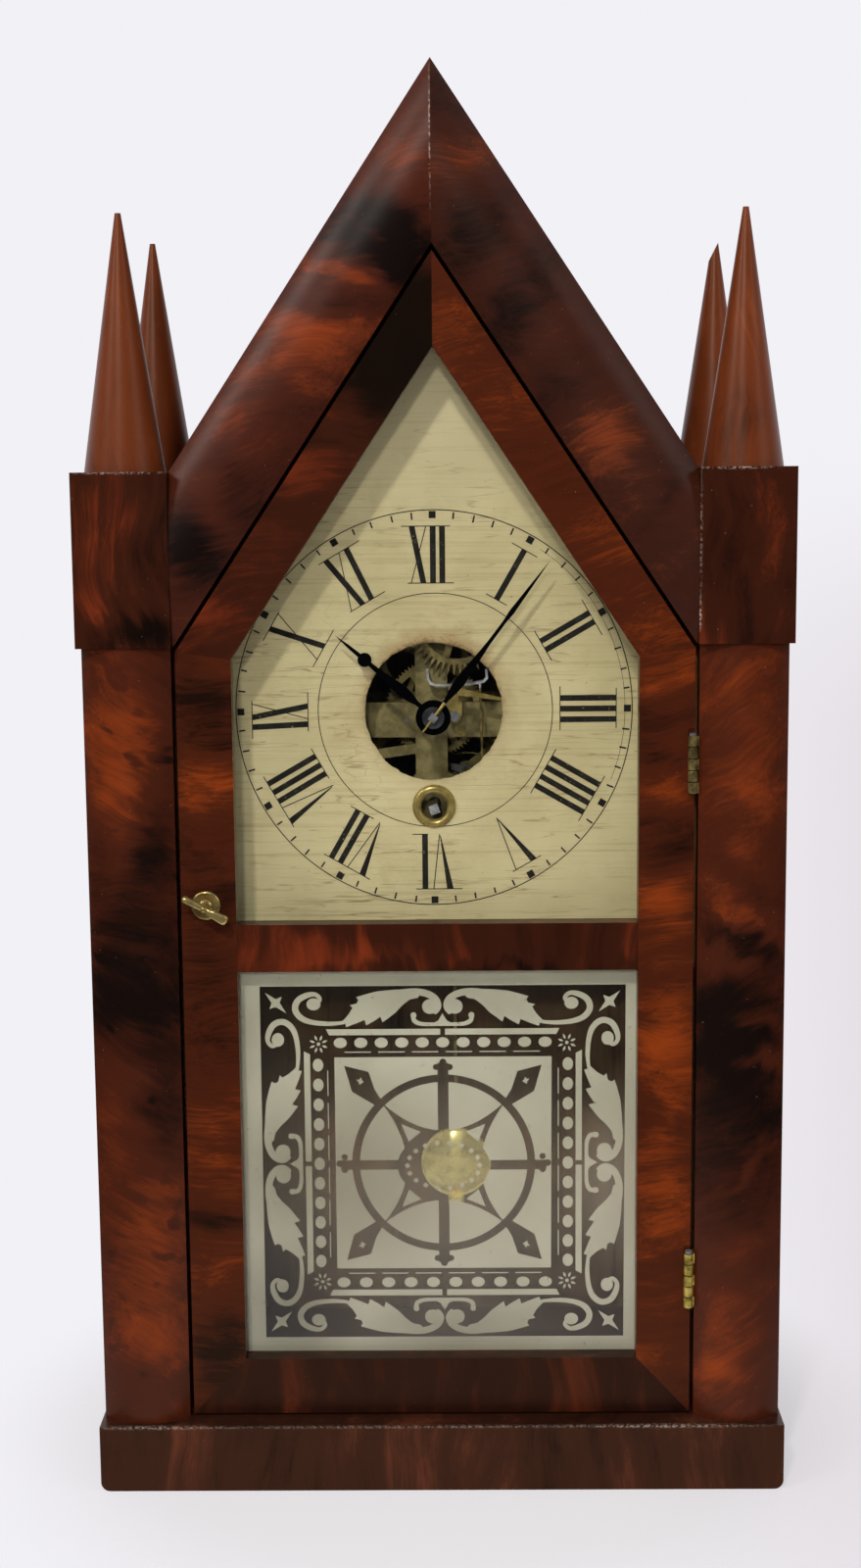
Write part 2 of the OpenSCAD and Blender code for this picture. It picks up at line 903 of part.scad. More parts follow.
// Turn button: a round lobe and a flat lobe on a spindle, which a shoulder
// stops in front of the round plate, with the tongue inside the door
module turn_knob() {
  color("#a8873f")
    translate([latch_x, 0, latch_z]) {
      translate([0, tongue_y + 1.6, 0])
        rotate([90, 0, 0])
          cylinder(h = tongue_y + 1.6 - lobe_y, r = latch_spindle_r);
      translate([0, shoulder_y, 0])
        rotate([90, 0, 0])
          cylinder(h = 1, r = shoulder_r);
      rotate([0, -latch_at, 0]) {
        upright(lobe_y, lobe_y + lobe_t)
          union() {
            translate([round_lobe[1] - round_lobe[0], 0])
              circle(r = round_lobe[1], $fn = 32);
            polygon([
              [round_lobe[1] - round_lobe[0], -round_lobe[1]], [0, -neck],
              [flat_lobe[0] - 0.6, -flat_lobe[1]], [flat_lobe[0], -flat_lobe[1] + 0.6],
              [flat_lobe[0], flat_lobe[1] - 0.6], [flat_lobe[0] - 0.6, flat_lobe[1]],
              [0, neck], [round_lobe[1] - round_lobe[0], round_lobe[1]]
            ]);
          }
        translate([-1.8, tongue_y, -tongue_len])
          cube([3.6, 1.6, tongue_len]);
      }
    }
}

// Door

// Opening of one pane, grown by g for the rebate
module upper_opening_2d(g) {
  k = g / cos(gable_deg);
  edge_x = glass_half_w + g;
  polygon([
    [-edge_x, mid_top_z - g], [edge_x, mid_top_z - g],
    [edge_x, glass_apex_z + k - gable_m * edge_x], [0, glass_apex_z + k],
    [-edge_x, glass_apex_z + k - gable_m * edge_x]
  ]);
}

module lower_opening_2d(g) {
  translate([-glass_half_w - g, sill_z - g])
    square([2 * (glass_half_w + g), mid_rail_z - sill_z + 2 * g]);
}

// The whole frame as one flat ring with both openings
module door_ring_2d() {
  difference() {
    polygon([
      [-door_half_w, door_bottom_z], [door_half_w, door_bottom_z],
      [door_half_w, door_shoulder_z], [0, door_apex_z],
      [-door_half_w, door_shoulder_z]
    ]);
    upper_opening_2d(0);
    lower_opening_2d(0);
  }
}

// A point on the mitre through the outer and inner corners, at distance x
function on_mitre(outer, inner, x) =
  [x, outer[1] + (inner[1] - outer[1]) * (x - outer[0]) / (inner[0] - outer[0])];
shoulder_outer = [door_half_w, door_shoulder_z];
shoulder_inner = [glass_half_w, glass_shoulder_z];
foot_outer = [door_half_w, door_bottom_z];
foot_inner = [glass_half_w, sill_z];

// Region of the right stile
module stile_zone_2d() {
  inner_x = glass_half_w;
  outer_x = door_half_w + 1;
  polygon([
    on_mitre(foot_outer, foot_inner, inner_x),
    on_mitre(foot_outer, foot_inner, outer_x),
    on_mitre(shoulder_outer, shoulder_inner, outer_x),
    on_mitre(shoulder_outer, shoulder_inner, inner_x)
  ]);
}

module gable_rail_zone_2d() {
  inner_x = glass_half_w - 8;
  outer_x = door_half_w + 1;
  polygon([
    on_mitre(shoulder_outer, shoulder_inner, outer_x),
    on_mitre(shoulder_outer, shoulder_inner, inner_x),
    [0, glass_apex_z - 20], [0, overall_h], [outer_x, overall_h]
  ]);
}

module bottom_rail_zone_2d() {
  inner = on_mitre(foot_outer, foot_inner, glass_half_w - 1);
  outer = on_mitre(foot_outer, foot_inner, door_half_w + 1);
  polygon([[-inner[0], inner[1]], inner, outer, [-outer[0], outer[1]]]);
}

module mid_rail_zone_2d() {
  translate([-glass_half_w, mid_rail_z - 1])
    square([2 * glass_half_w, mid_rail_h + 2]);
}

// One piece of the door frame, with the rebate for the panes cut from behind
module door_piece(part) {
  difference() {
    upright(door_front_y, door_back_y)
      intersection() {
        door_ring_2d();
        if (part == "stile")
          stile_zone_2d();
        else if (part == "gable")
          gable_rail_zone_2d();
        else if (part == "bottom")
          bottom_rail_zone_2d();
        else
          mid_rail_zone_2d();
      }
    upright(glass_y, door_back_y + 1) {
      upper_opening_2d(glass_rebate);
      lower_opening_2d(glass_rebate);
    }
  }
}

module door_stile_left() {
  color("#5e2210")
    difference() {
      mirror([1, 0, 0])
        door_piece("stile");
      translate([latch_x, door_back_y + 1, latch_z])
        rotate([90, 0, 0])
          cylinder(h = door_t + 2, r = latch_spindle_r + bearing_play);
    }
}

module door_stile_right() {
  color("#5e2210")
    difference() {
      door_piece("stile");
      knuckle_pockets();
      leaf_recesses();
    }
}

module gable_rail_left() {
  color("#5a1f0f")
    mirror([1, 0, 0])
      door_piece("gable");
}

module gable_rail_right() {
  color("#5a1f0f")
    door_piece("gable");
}

module mid_rail() {
  color("#54200f")
    door_piece("mid");
}

module bottom_rail() {
  color("#4a1c0e")
    door_piece("bottom");
}

pane_play = 0.4;

module upper_glass() {
  color("#cfd8d2", 0.35)
    upright(glass_y, glass_y + glass_t)
      upper_opening_2d(glass_rebate - pane_play);
}

module lower_glass() {
  color("#c9d2c8", 0.5)
    upright(glass_y, glass_y + glass_t)
      lower_opening_2d(glass_rebate - pane_play);
}

bead_d = 2.6;

module glass_beads() {
  color("#6b4a2c")
    upright(glass_y + glass_t, glass_y + glass_t + bead_d)
      union() {
        difference() {
          upper_opening_2d(glass_rebate);
          upper_opening_2d(0.6);
        }
        difference() {
          lower_opening_2d(glass_rebate);
          lower_opening_2d(0.6);
        }
      }
}

// Hands

module minute_hand() {
  shape = [
    [4, 0.7], [8, 0.75], [12, 1.5], [16, 1.95], [20, 1.75], [27, 1.15],
    [34, 0.7], [43, 0.62], [48, 0.95], [52, 0.8], [60, 0.5]
  ];
  color("#15161c")
    movement_frame()
      at_centre([0, 0], minute_hand_y, minute_hand_y + hand_t)
        rotate(-minute_at)
          difference() {
            union() {
              circle(r = 6.4);
              polygon(concat(
                [for (p = shape) [p[1], p[0]]],
                [[0, minute_len]],
                [for (i = [len(shape) - 1 : -1 : 0]) [-shape[i][1], shape[i][0]]]
              ));
            }
            square(square_w, center = true);
          }
}

square_w = 2.8;

module hour_hand() {
  shape = [
    [4, 0.8], [8, 0.85], [11, 1.7], [14, 2.1], [18, 1.8], [24, 1.1], [30, 0.8],
    [36, 0.75], [40, 0.6]
  ];
  color("#15161c")
    movement_frame()
      at_centre([0, 0], hour_hand_y, hour_hand_y + hand_t)
        rotate(-hour_at)
          difference() {
            union() {
              circle(r = 6.2);
              translate([0, 32.6])
                circle(r = 2.6);
              polygon(concat(
                [for (p = shape) [p[1], p[0]]],
                [[0, hour_len]],
                [for (i = [len(shape) - 1 : -1 : 0]) [-shape[i][1], shape[i][0]]]
              ));
            }
            circle(r = hour_pipe_r);
          }
}

module hand_collar() {
  color("#8d8f92")
    movement_frame()
      difference() {
        depth_rod([0, 0], 4, minute_hand_y - 1.1, minute_hand_y);
        depth_rod([0, 0], 3, minute_hand_y - 2, minute_hand_y - 0.7);
        at_centre([0, 0], minute_hand_y - 2, minute_hand_y + 1)
          rotate(-minute_at)
            square(square_w, center = true);
      }
}

pin_y = minute_hand_y - 1.75;

module taper_pin() {
  color("#c3a552")
    movement_frame()
      translate([hub_x, pin_y, hub_z])
        rotate([0, minute_at, 0])
          translate([0, 0, -6.2])
            cylinder(h = 13.2, r1 = 0.35, r2 = 0.6, $fn = 32);
}

// Motion work

// Cut pinion, drawn flat
module leaves_2d(n, module_size, at) {
  pitch_r = n * module_size / 2;
  pitch = PI * module_size;
  rotate(at)
    polygon(tooth_points(n, pitch_r - 1.15 * module_size, pitch_r,
      pitch_r + 0.75 * module_size, pitch * 0.2, pitch * 0.2, pitch * 0.07));
}

// Cut wheel to run with a cut pinion, drawn flat
module cut_wheel_2d(n, module_size, at) {
  pitch_r = n * module_size / 2;
  pitch = PI * module_size;
  rotate(at)
    polygon(tooth_points(n, pitch_r - 1.1 * module_size, pitch_r,
      pitch_r + 0.75 * module_size, pitch * 0.24, pitch * 0.2, pitch * 0.09));
}

// Centre arbor: thin behind, thick in front with the cannon leaves, square
// at the end for the minute hand
module centre_arbor() {
  color("#8d8f92")
    movement_frame() {
      difference() {
        union() {
          depth_rod([0, 0], centre_arbor_r, -5, plate_back_y + plate_t);
          depth_rod([0, 0], hand_arbor_r, minute_hand_y + hand_t, -4);
          at_centre([0, 0], minute_hand_y - 2.6, minute_hand_y + hand_t)
            rotate(-minute_at)
              square(square_w, center = true);
        }
        translate([hub_x, pin_y, hub_z])
          rotate([0, minute_at, 0])
            translate([0, 0, -6.2])
              cylinder(h = 13.2, r1 = 0.35, r2 = 0.6, $fn = 32);
      }
      at_centre([0, 0], cannon_y[0], cannon_y[1])
        leaves_2d(cannon_teeth, cannon_module, toward([0, 0], minute_c));
    }
}

module minute_wheel() {
  to_hub = toward(minute_c, [0, 0]);
  color("#b3924a")
    movement_frame()
      difference() {
        union() {
          at_centre(minute_c, cannon_y[0], cannon_y[1])
            cut_wheel_2d(minute_teeth, cannon_module, to_hub + 180 / minute_teeth);
          at_centre(minute_c, motion_pinion_y[0], motion_pinion_y[1])
            leaves_2d(minute_leaves, hour_module, to_hub);
          depth_rod(minute_c, 1.6, motion_pinion_y[0], cannon_y[1]);
        }
        depth_rod(minute_c, stud_r + bearing_play, plate_y, 0);
      }
}

module hour_wheel() {
  color("#b3924a")
    movement_frame()
      difference() {
        union() {
          at_centre([0, 0], hour_wheel_y[0], hour_wheel_y[1])
            cut_wheel_2d(hour_teeth, hour_module, toward([0, 0], minute_c) + 180 / hour_teeth);
          depth_rod([0, 0], hour_pipe_r, hour_hand_y, -7.6);
        }
        depth_rod([0, 0], hand_arbor_r + bearing_play, hour_hand_y - 1, 0);
      }
}

// Going train

pin_third_r = 0.33;
pin_escape_r = 0.3;
pin_centre_r = 0.5;

module centre_wheel() {
  color("#b3924a")
    movement_frame() {
      at_centre([0, 0], centre_wheel_y, centre_wheel_y + wheel_t)
        toothed_2d(centre_teeth, centre_module, pin_third_r, 2.2, 4, 4, sleeve_r - eps,
          toward([0, 0], third_c));
      difference() {
        depth_rod([0, 0], sleeve_r, -3.7, 17.2);
        depth_rod([0, 0], centre_arbor_r + bearing_play, -5, 20);
      }
      lantern([0, 0], centre_pins, great_module, pin_centre_r, 4.5, sleeve_r - eps,
        centre_pinion_y[0], centre_pinion_y[1], -90);
    }
}

module third_wheel() {
  color("#b3924a")
    movement_frame() {
      at_centre(third_c, third_wheel_y, third_wheel_y + wheel_t)
        toothed_2d(third_teeth, third_module, pin_escape_r, 2, 4, 3.4, third_arbor_r - eps,
          toward(third_c, escape_c));
      depth_rod(third_c, third_arbor_r, plate_y - 0.3, plate_back_y + plate_t);
      depth_rod(third_c, 2.4, 6.2, 7.7);
      lantern(third_c, third_pins, centre_module, pin_third_r, 2.8, third_arbor_r - eps,
        third_pinion_y[0], third_pinion_y[1], toward(third_c, [0, 0]));
    }
}

escape_rim_r = 15.6;

module escape_wheel() {
  color("#a88d4e")
    movement_frame() {
      at_centre(escape_c, escape_wheel_y[0], escape_wheel_y[1])
        difference() {
          polygon([
            for (i = [0 : escape_teeth - 1])
              for (p = [[escape_rim_r, -2.6], [escape_r, -0.25], [escape_r, 0.25], [escape_rim_r, 2.2]])
                polar(p[0], i * 360 / escape_teeth + p[1])
          ]);
          difference() {
            circle(r = escape_rim_r - 2.2);
            circle(r = 3.4);
            for (i = [0 : 4])
              rotate(i * 72 + 36)
                translate([0, -1.2])
                  square([escape_rim_r, 2.4]);
          }
          circle(r = escape_arbor_r - eps);
        }
      depth_rod(escape_c, 2.6, -18, -15.2);
      depth_rod(escape_c, escape_arbor_r, -18.4, plate_back_y + plate_t);
      lantern(escape_c, escape_pins, third_module, pin_escape_r, 2.3, escape_arbor_r - eps,
        escape_pinion_y[0], escape_pinion_y[1], toward(escape_c, third_c));
    }
}

click_at = 38;
click_c = great_c + polar(15.5, click_at);
click_pin_r = 0.8;

module great_wheel() {
  color("#b3924a")
    movement_frame()
      difference() {
        union() {
          at_centre(great_c, great_wheel_y[0], great_wheel_y[1])
            toothed_2d(great_teeth, great_module, pin_centre_r, 3.4, 5, 11,
              wind_arbor_r + bearing_play, 90);
          at_centre(great_c, great_wheel_y[0], great_wheel_y[1])
            translate(click_c - great_c)
              circle(r = 3.4);
          depth_rod(great_c, 6, 12.6, 15.4);
          depth_rod(click_c, click_pin_r, 10, 14);
          depth_rod(click_c, 1.5, 9.5, 10.3);
          depth_rod(spring_foot_c, 0.9, 10.4, 14);
          at_centre(great_c, 10.9, 12)
            polygon(strip_outline(click_spring_path, 0.5));
        }
        depth_rod(great_c, wind_arbor_r + bearing_play, 9, 16);
      }
}

// The click's spring stands on the same spoke and runs along the click
spring_foot_c = great_c + polar(24.5, click_at);
click_spring_path = [
  polar(24.5, click_at), polar(22.5, click_at + 8), polar(20, click_at + 17),
  polar(17.4, click_at + 27)
];

ratchet_teeth = 18;
ratchet_r = 10.2;

// Click whose nose stands a hair clear of the ratchet
module click() {
  nose = great_c + polar(ratchet_r + 0.35, click_at + 36);
  color("#8d8f92")
    movement_frame()
      difference() {
        at_centre([0, 0], 10.6, 12.5)
          union() {
            translate(click_c)
              circle(r = 2.4);
            polygon([
              click_c + polar(2.3, click_at), great_c + polar(13.6, click_at + 30), nose,
              great_c + polar(11.6, click_at + 26), click_c + polar(2.3, click_at + 168)
            ]);
          }
        depth_rod(click_c, click_pin_r + bearing_play, 9, 14);
      }
}

module winding_arbor() {
  color("#8d8f92")
    movement_frame() {
      depth_rod(great_c, wind_pivot_r, plate_y - 0.8, plate_back_y + plate_t + 0.4);
      depth_rod(great_c, wind_arbor_r, plate_y + plate_t + 0.5, plate_back_y - 0.5);
      at_centre(great_c, -28.4, plate_y - 0.7)
        rotate(20)
          square(3.5, center = true);
      at_centre(great_c, ratchet_y[0], ratchet_y[1])
        polygon([
          for (i = [0 : ratchet_teeth - 1])
            for (p = [[8.2, 0], [ratchet_r, 17]])
              polar(p[0], i * 360 / ratchet_teeth + p[1] + 4)
        ]);
    }
}

// Verge and crutch

verge_y0 = -18.6;
verge_y1 = -15;
wire_r = 0.45;
wire_y = -20.2;
crutch_drop = 56;
crutch_c = [hang_c[0], -crutch_drop];

// A straight piece of wire with a ball at its first end
module wire_piece(a, b) {
  d = b - a;
  translate(a) {
    sphere(r = wire_r * 1.12);
    rotate([0, acos(d[2] / norm(d)), atan2(d[1], d[0])])
      cylinder(h = norm(d), r = wire_r);
  }
}

module verge() {
  strip = [
    [-2.25, 16.4], [-1.95, 12.4], [-1, 10.9], [0.9, 10.2], [7.9, 10], [14, 10.6],
    [18.8, 11.5], [20, 12.9], [19.7, 16.2]
  ];
  wire = [
    [17.4, -17, 10.9], [17.4, wire_y, 9.4], [18.1, wire_y, -17.4],
    [16.6, wire_y, -40], [crutch_c[0], wire_y, 0.4 - crutch_drop],
    [crutch_c[0], rod_y - 1.5, crutch_c[1]]
  ];
  color("#a3a3a0")
    movement_frame() {
      at_centre([0, 0], verge_y0, verge_y1)
        polygon(strip_outline(strip, 0.9));
      translate([hub_x, 0, hub_z]) {
        for (i = [0 : len(wire) - 2])
          wire_piece(wire[i], wire[i + 1]);
        translate([crutch_c[0], rod_y, crutch_c[1]])
          rotate_extrude()
            translate([1.5, 0])
              circle(r = wire_r);
      }
    }
}

module verge_saddle() {
  color("#c3a552")
    movement_frame()
      difference() {
        union() {
          at_centre([0, 0], -19.6, -18.6)
            saddle_2d();
          at_centre([0, 0], -15, -14)
            saddle_2d();
          at_centre([0, 0], -19.6, -14)
            translate([5.6, 8.3])
              square([5, 1.25]);
        }
        depth_rod(verge_c, stud_r + bearing_play, -22, -12);
      }
}

module saddle_2d() {
  translate(verge_c)
    circle(r = 2.6);
  translate([5.6, -1])
    square([5, 10.55]);
}

// Pendulum

module pendulum_rod() {
  color("#8d8f92")
    movement_frame()
      difference() {
        union() {
          depth_rod(hang_c, 2.1, -19.4, -17.5);
          translate([hub_x + hang_c[0] - 0.25, rod_y - 0.9, hub_z + hang_c[1] - 14])
            cube([0.5, 1.8, 13]);
          translate([hub_x + hang_c[0], rod_y, hub_z + bob_c[1] - bob_r - 8])
            cylinder(h = pendulum_len + bob_r + 8 - 13, r = rod_r);
        }
        depth_rod(hang_c, hang_pin_r + bearing_play, -22, -12);
      }
}

bob_t = 8.4;

module bob() {
  color("#c9a545")
    movement_frame()
      translate([hub_x + bob_c[0], rod_y, hub_z + bob_c[1]])
        difference() {
          rotate([90, 0, 0])
            intersection() {
              cylinder(h = bob_t, r = bob_r, center = true);
              union() {
                translate([0, 0, -20])
                  sphere(r = 24.4, $fn = 128);
                cylinder(h = 2, r = bob_r, center = true);
              }
              union() {
                translate([0, 0, 20])
                  sphere(r = 24.4, $fn = 128);
                cylinder(h = 2, r = bob_r, center = true);
              }
            }
          translate([0, 0, -bob_r - 2])
            cylinder(h = 2 * bob_r + 4, r = rod_r + bearing_play);
        }
}

module rating_nut() {
  color("#b3924a")
    movement_frame()
      translate([hub_x + bob_c[0], rod_y, hub_z + bob_c[1] - bob_r - 3.2])
        difference() {
          cylinder(h = 3.2, r = 3.2, $fn = 64);
          translate([0, 0, -1])
            cylinder(h = 6, r = rod_r + bearing_play);
        }
}

// Each node on its own, or all of them together
plinth_front();
plinth_sides();
floor_board();
side_boards();
roof_boards();
back_board();
column_left();
column_right();
gable_left();
gable_right();
cap_blocks();
steeples();
steeple_broken();
dial_battens();
dial_plate();
dial_nails();
grommet();
movement_blocks();
movement_screws();
front_plate();
back_plate();
pillars();
mainspring();
plate_studs();
verge_keeper();
suspension_post();
case_hinges();
hinge_pins();
strike();
door_stile_left();
door_stile_right();
gable_rail_left();
gable_rail_right();
mid_rail();
bottom_rail();
upper_glass();
lower_glass();
glass_beads();
door_hinges();
escutcheon();
turn_knob();
hour_hand();
hour_wheel();
centre_arbor();
minute_hand();
hand_collar();
taper_pin();
minute_wheel();
centre_wheel();
third_wheel();
escape_wheel();
great_wheel();
click();
winding_arbor();
verge();
verge_saddle();
pendulum_rod();
bob();
rating_nut();
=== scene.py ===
# Looks of the steeple clock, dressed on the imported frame. Metres, Z up, the
# front faces -Y. Drawings and tables are in millimetres and scaled by MM.
import math
import random

import bmesh
import bpy
from mathutils import Matrix, Vector
from mathutils.geometry import delaunay_2d_cdt

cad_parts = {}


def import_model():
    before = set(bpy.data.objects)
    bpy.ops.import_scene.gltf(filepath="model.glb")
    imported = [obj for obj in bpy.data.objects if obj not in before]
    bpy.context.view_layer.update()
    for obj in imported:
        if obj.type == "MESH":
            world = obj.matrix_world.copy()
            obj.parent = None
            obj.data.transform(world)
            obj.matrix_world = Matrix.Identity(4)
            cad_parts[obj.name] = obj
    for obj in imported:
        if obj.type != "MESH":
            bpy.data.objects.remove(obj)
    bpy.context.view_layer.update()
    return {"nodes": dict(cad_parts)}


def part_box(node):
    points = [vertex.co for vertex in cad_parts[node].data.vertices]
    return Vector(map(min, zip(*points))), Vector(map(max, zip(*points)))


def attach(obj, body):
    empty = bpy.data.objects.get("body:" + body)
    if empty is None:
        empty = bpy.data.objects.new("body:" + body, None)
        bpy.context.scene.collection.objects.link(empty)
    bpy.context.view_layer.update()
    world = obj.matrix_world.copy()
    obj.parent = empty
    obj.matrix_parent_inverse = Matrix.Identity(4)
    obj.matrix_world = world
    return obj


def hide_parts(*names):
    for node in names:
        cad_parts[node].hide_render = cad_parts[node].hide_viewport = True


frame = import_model()
nodes = frame["nodes"]
MM = 0.001
FULL = 2 * math.pi

# The camera fitted to the photo: angles in radians, lengths in its pixels
YAW, PITCH, ROLL = 0.011, 0.137, -0.009
FOCAL_PX, FRAME_PX = 2055.9, 1600
EYE = (5.94, -767.14, 362.87)
SENSOR = 24

# Places on the clock, as (x, z) where they are points
HEIGHT, GABLE_FOOT, GABLE_HALF = 515, 375.6, 93.2
HUB = (-0.9, 287.8)               # middle of the dial's hole
DIAL_C = (-0.7, 288.4)            # middle of the minute track
DIAL_Y = -26.0                    # face of the dial
ARBOR_Z, WINDING_DROP = 286.5, 34.15
TAB_C = Vector((1.6, 120.1))      # middle of the tablet's pattern
FROST_Y = -41.98                  # front of the frosted layer
LATCH, LATCH_TILT = (-83.85, 220.2), 28.8
DOOR_FRONT = -50.3
QUADRANTS = ((1, 1), (1, -1), (-1, -1), (-1, 1))


def srgb(r, g, b):
    """Scene-linear colour for 0-255 display values."""
    def lin(c):
        c /= 255
        return c / 12.92 if c <= 0.04045 else ((c + 0.055) / 1.055) ** 2.4
    return (lin(r), lin(g), lin(b), 1)


def placed(name, data):
    """New object that is linked to the scene."""
    obj = bpy.data.objects.new(name, data)
    bpy.context.scene.collection.objects.link(obj)
    return obj


# ------------------------ camera

def make_camera():
    across = Vector((math.cos(YAW), math.sin(YAW), 0))
    ahead = Vector((-math.sin(YAW), math.cos(YAW), 0))
    rise = Vector((0, 0, 1))
    forward = math.cos(PITCH) * ahead - math.sin(PITCH) * rise
    level = math.sin(PITCH) * ahead + math.cos(PITCH) * rise
    right = math.cos(ROLL) * across + math.sin(ROLL) * level
    up = -math.sin(ROLL) * across + math.cos(ROLL) * level
    cam = bpy.data.cameras.new("camera")
    cam.sensor_fit = "VERTICAL"
    cam.sensor_height = SENSOR
    cam.lens = SENSOR * FOCAL_PX / FRAME_PX
    cam.clip_start = 0.01
    cam.dof.use_dof = False
    obj = placed("camera", cam)
    turn = Matrix((right, up, -forward)).transposed()
    obj.matrix_world = Matrix.Translation(Vector(EYE) * MM) @ turn.to_4x4()
    bpy.context.scene.camera = obj


make_camera()


# ------------------------ shaders

class Shader:
    """A material's or the world's node tree, built with short calls."""

    def __init__(self, name, world=False):
        self.owner = (bpy.data.worlds if world else bpy.data.materials).new(name)
        self.owner.use_nodes = True
        self.tree = self.owner.node_tree
        self.tree.nodes.clear()
        self.out = self.add("ShaderNodeOutputWorld" if world else "ShaderNodeOutputMaterial")
        where = self.add("ShaderNodeTexCoord").outputs
        self.coords = where["Generated" if world else "Object"]
        self.split = None

    def add(self, kind, inputs=None, **props):
        """New node. An input is a value, a socket or a node's first output."""
        node = self.tree.nodes.new(kind)
        for key, value in props.items():
            setattr(node, key, value)
        for key, value in (inputs or {}).items():
            if isinstance(value, bpy.types.Node):
                value = value.outputs[0]
            if isinstance(value, bpy.types.NodeSocket):
                self.tree.links.new(value, node.inputs[key])
            else:
                node.inputs[key].default_value = value
        return node

    def math(self, op, a, b=0.0, c=0.0):
        return self.add("ShaderNodeMath", {0: a, 1: b, 2: c}, operation=op).outputs[0]

    def vec(self, op, a, b=(0, 0, 0), scale=1.0):
        return self.add("ShaderNodeVectorMath", {0: a, 1: b, 3: scale}, operation=op).outputs[0]

    def axis(self, name):
        self.split = self.split or self.add("ShaderNodeSeparateXYZ", {0: self.coords})
        return self.split.outputs[name]

    def place(self, vec, scale=(1, 1, 1), loc=(0, 0, 0)):
        return self.add("ShaderNodeMapping", {0: vec, 1: loc, 3: scale}).outputs[0]

    def lined_up(self, vec, turn):
        """Coordinates whose X runs along the grain."""
        node = self.add("ShaderNodeMapping", {0: vec, 2: turn}, vector_type="TEXTURE")
        return node.outputs[0]

    def noise(self, vec, scale, detail=3.0, rough=0.5, distort=0.0, out="Fac"):
        return self.add("ShaderNodeTexNoise", {
            "Vector": vec, "Scale": scale, "Detail": detail,
            "Roughness": rough, "Distortion": distort}).outputs[out]

    def stir(self, vec, source, scale, amount):
        """vec, pushed about by a colour noise taken at `source`."""
        noise = self.noise(source, scale, 2.0, out="Color")
        push = self.vec("SUBTRACT", noise, (0.5, 0.5, 0.5))
        return self.vec("ADD", vec, self.vec("SCALE", push, scale=amount))

    def vary(self, value, noise, amount):
        """value, moved up and down by a noise about its middle."""
        return self.math("MULTIPLY_ADD", self.math("SUBTRACT", noise, 0.5), amount, value)

    def range(self, value, lo, hi, out_lo=0.0, out_hi=1.0, kind="LINEAR"):
        return self.add("ShaderNodeMapRange", {0: value, 1: lo, 2: hi, 3: out_lo, 4: out_hi},
                        interpolation_type=kind).outputs[0]

    def ease(self, value, lo, hi, out_lo=0.0):
        return self.range(value, lo, hi, out_lo, kind="SMOOTHSTEP")

    def ramp(self, fac, *stops):
        """Colour from (position, display colour) stops."""
        node = self.add("ShaderNodeValToRGB", {0: fac})
        ramp = node.color_ramp
        ramp.interpolation = "EASE"
        while len(ramp.elements) < len(stops):
            ramp.elements.new(0.5)
        for element, (at, rgb) in zip(ramp.elements, stops):
            element.position = at
            element.color = srgb(*rgb)
        return node.outputs[0]

    def mix(self, fac, a, b):
        return self.add("ShaderNodeMix", {0: fac, 6: a, 7: b}, data_type="RGBA",
                        clamp_factor=True).outputs[2]

    def layer(self, colour, mask, amount, rgb):
        """colour under a display colour that is as dense as mask times amount."""
        return self.mix(self.math("MULTIPLY", mask, amount), colour, srgb(*rgb))

    def blob(self, vec, centre, radii, tilt=0):
        """1 inside an ellipsoid, falling smoothly to 0 at its edge."""
        vec = self.vec("SUBTRACT", vec, [MM * c for c in centre])
        if tilt:
            turn = {0: vec, 2: (0, 1, 0), 3: math.radians(tilt)}
            vec = self.add("ShaderNodeVectorRotate", turn, rotation_type="AXIS_ANGLE")
        vec = self.place(vec, scale=[1 / (MM * r) for r in radii])
        dist = self.add("ShaderNodeVectorMath", {0: vec}, operation="LENGTH").outputs["Value"]
        return self.ease(dist, 1.3, 0.05)

    def distance(self, a, b):
        """Length of the flat vector (a, b)."""
        return self.math("SQRT", self.math(
            "ADD", self.math("MULTIPLY", a, a), self.math("MULTIPLY", b, b)))

    def bump(self, height, strength, distance, normal=None):
        inputs = {"Height": height, "Strength": strength, "Distance": distance}
        if normal is not None:
            inputs["Normal"] = normal
        return self.add("ShaderNodeBump", inputs).outputs[0]

    def blend(self, fac, a, b):
        return self.add("ShaderNodeMixShader", {0: fac, 1: a, 2: b})

    def surface(self, node):
        self.tree.links.new(node.outputs[0], self.out.inputs["Surface"])
        return self.owner

    def principled(self, **inputs):
        names = {"base": "Base Color", "rough": "Roughness", "metal": "Metallic",
                 "normal": "Normal", "spec": "Specular IOR Level", "tint": "Specular Tint"}
        return self.add("ShaderNodeBsdfPrincipled", {names[k]: v for k, v in inputs.items()})

    def finish(self, **inputs):
        return self.surface(self.principled(**inputs))


def spots(y, deep, *rows):
    """Patches at depth y from (x, z, x radius, z radius, tilt, amount) rows."""
    return [((x, y, z), (rx, deep, rz), tilt, amount) for x, z, rx, rz, tilt, amount in rows]


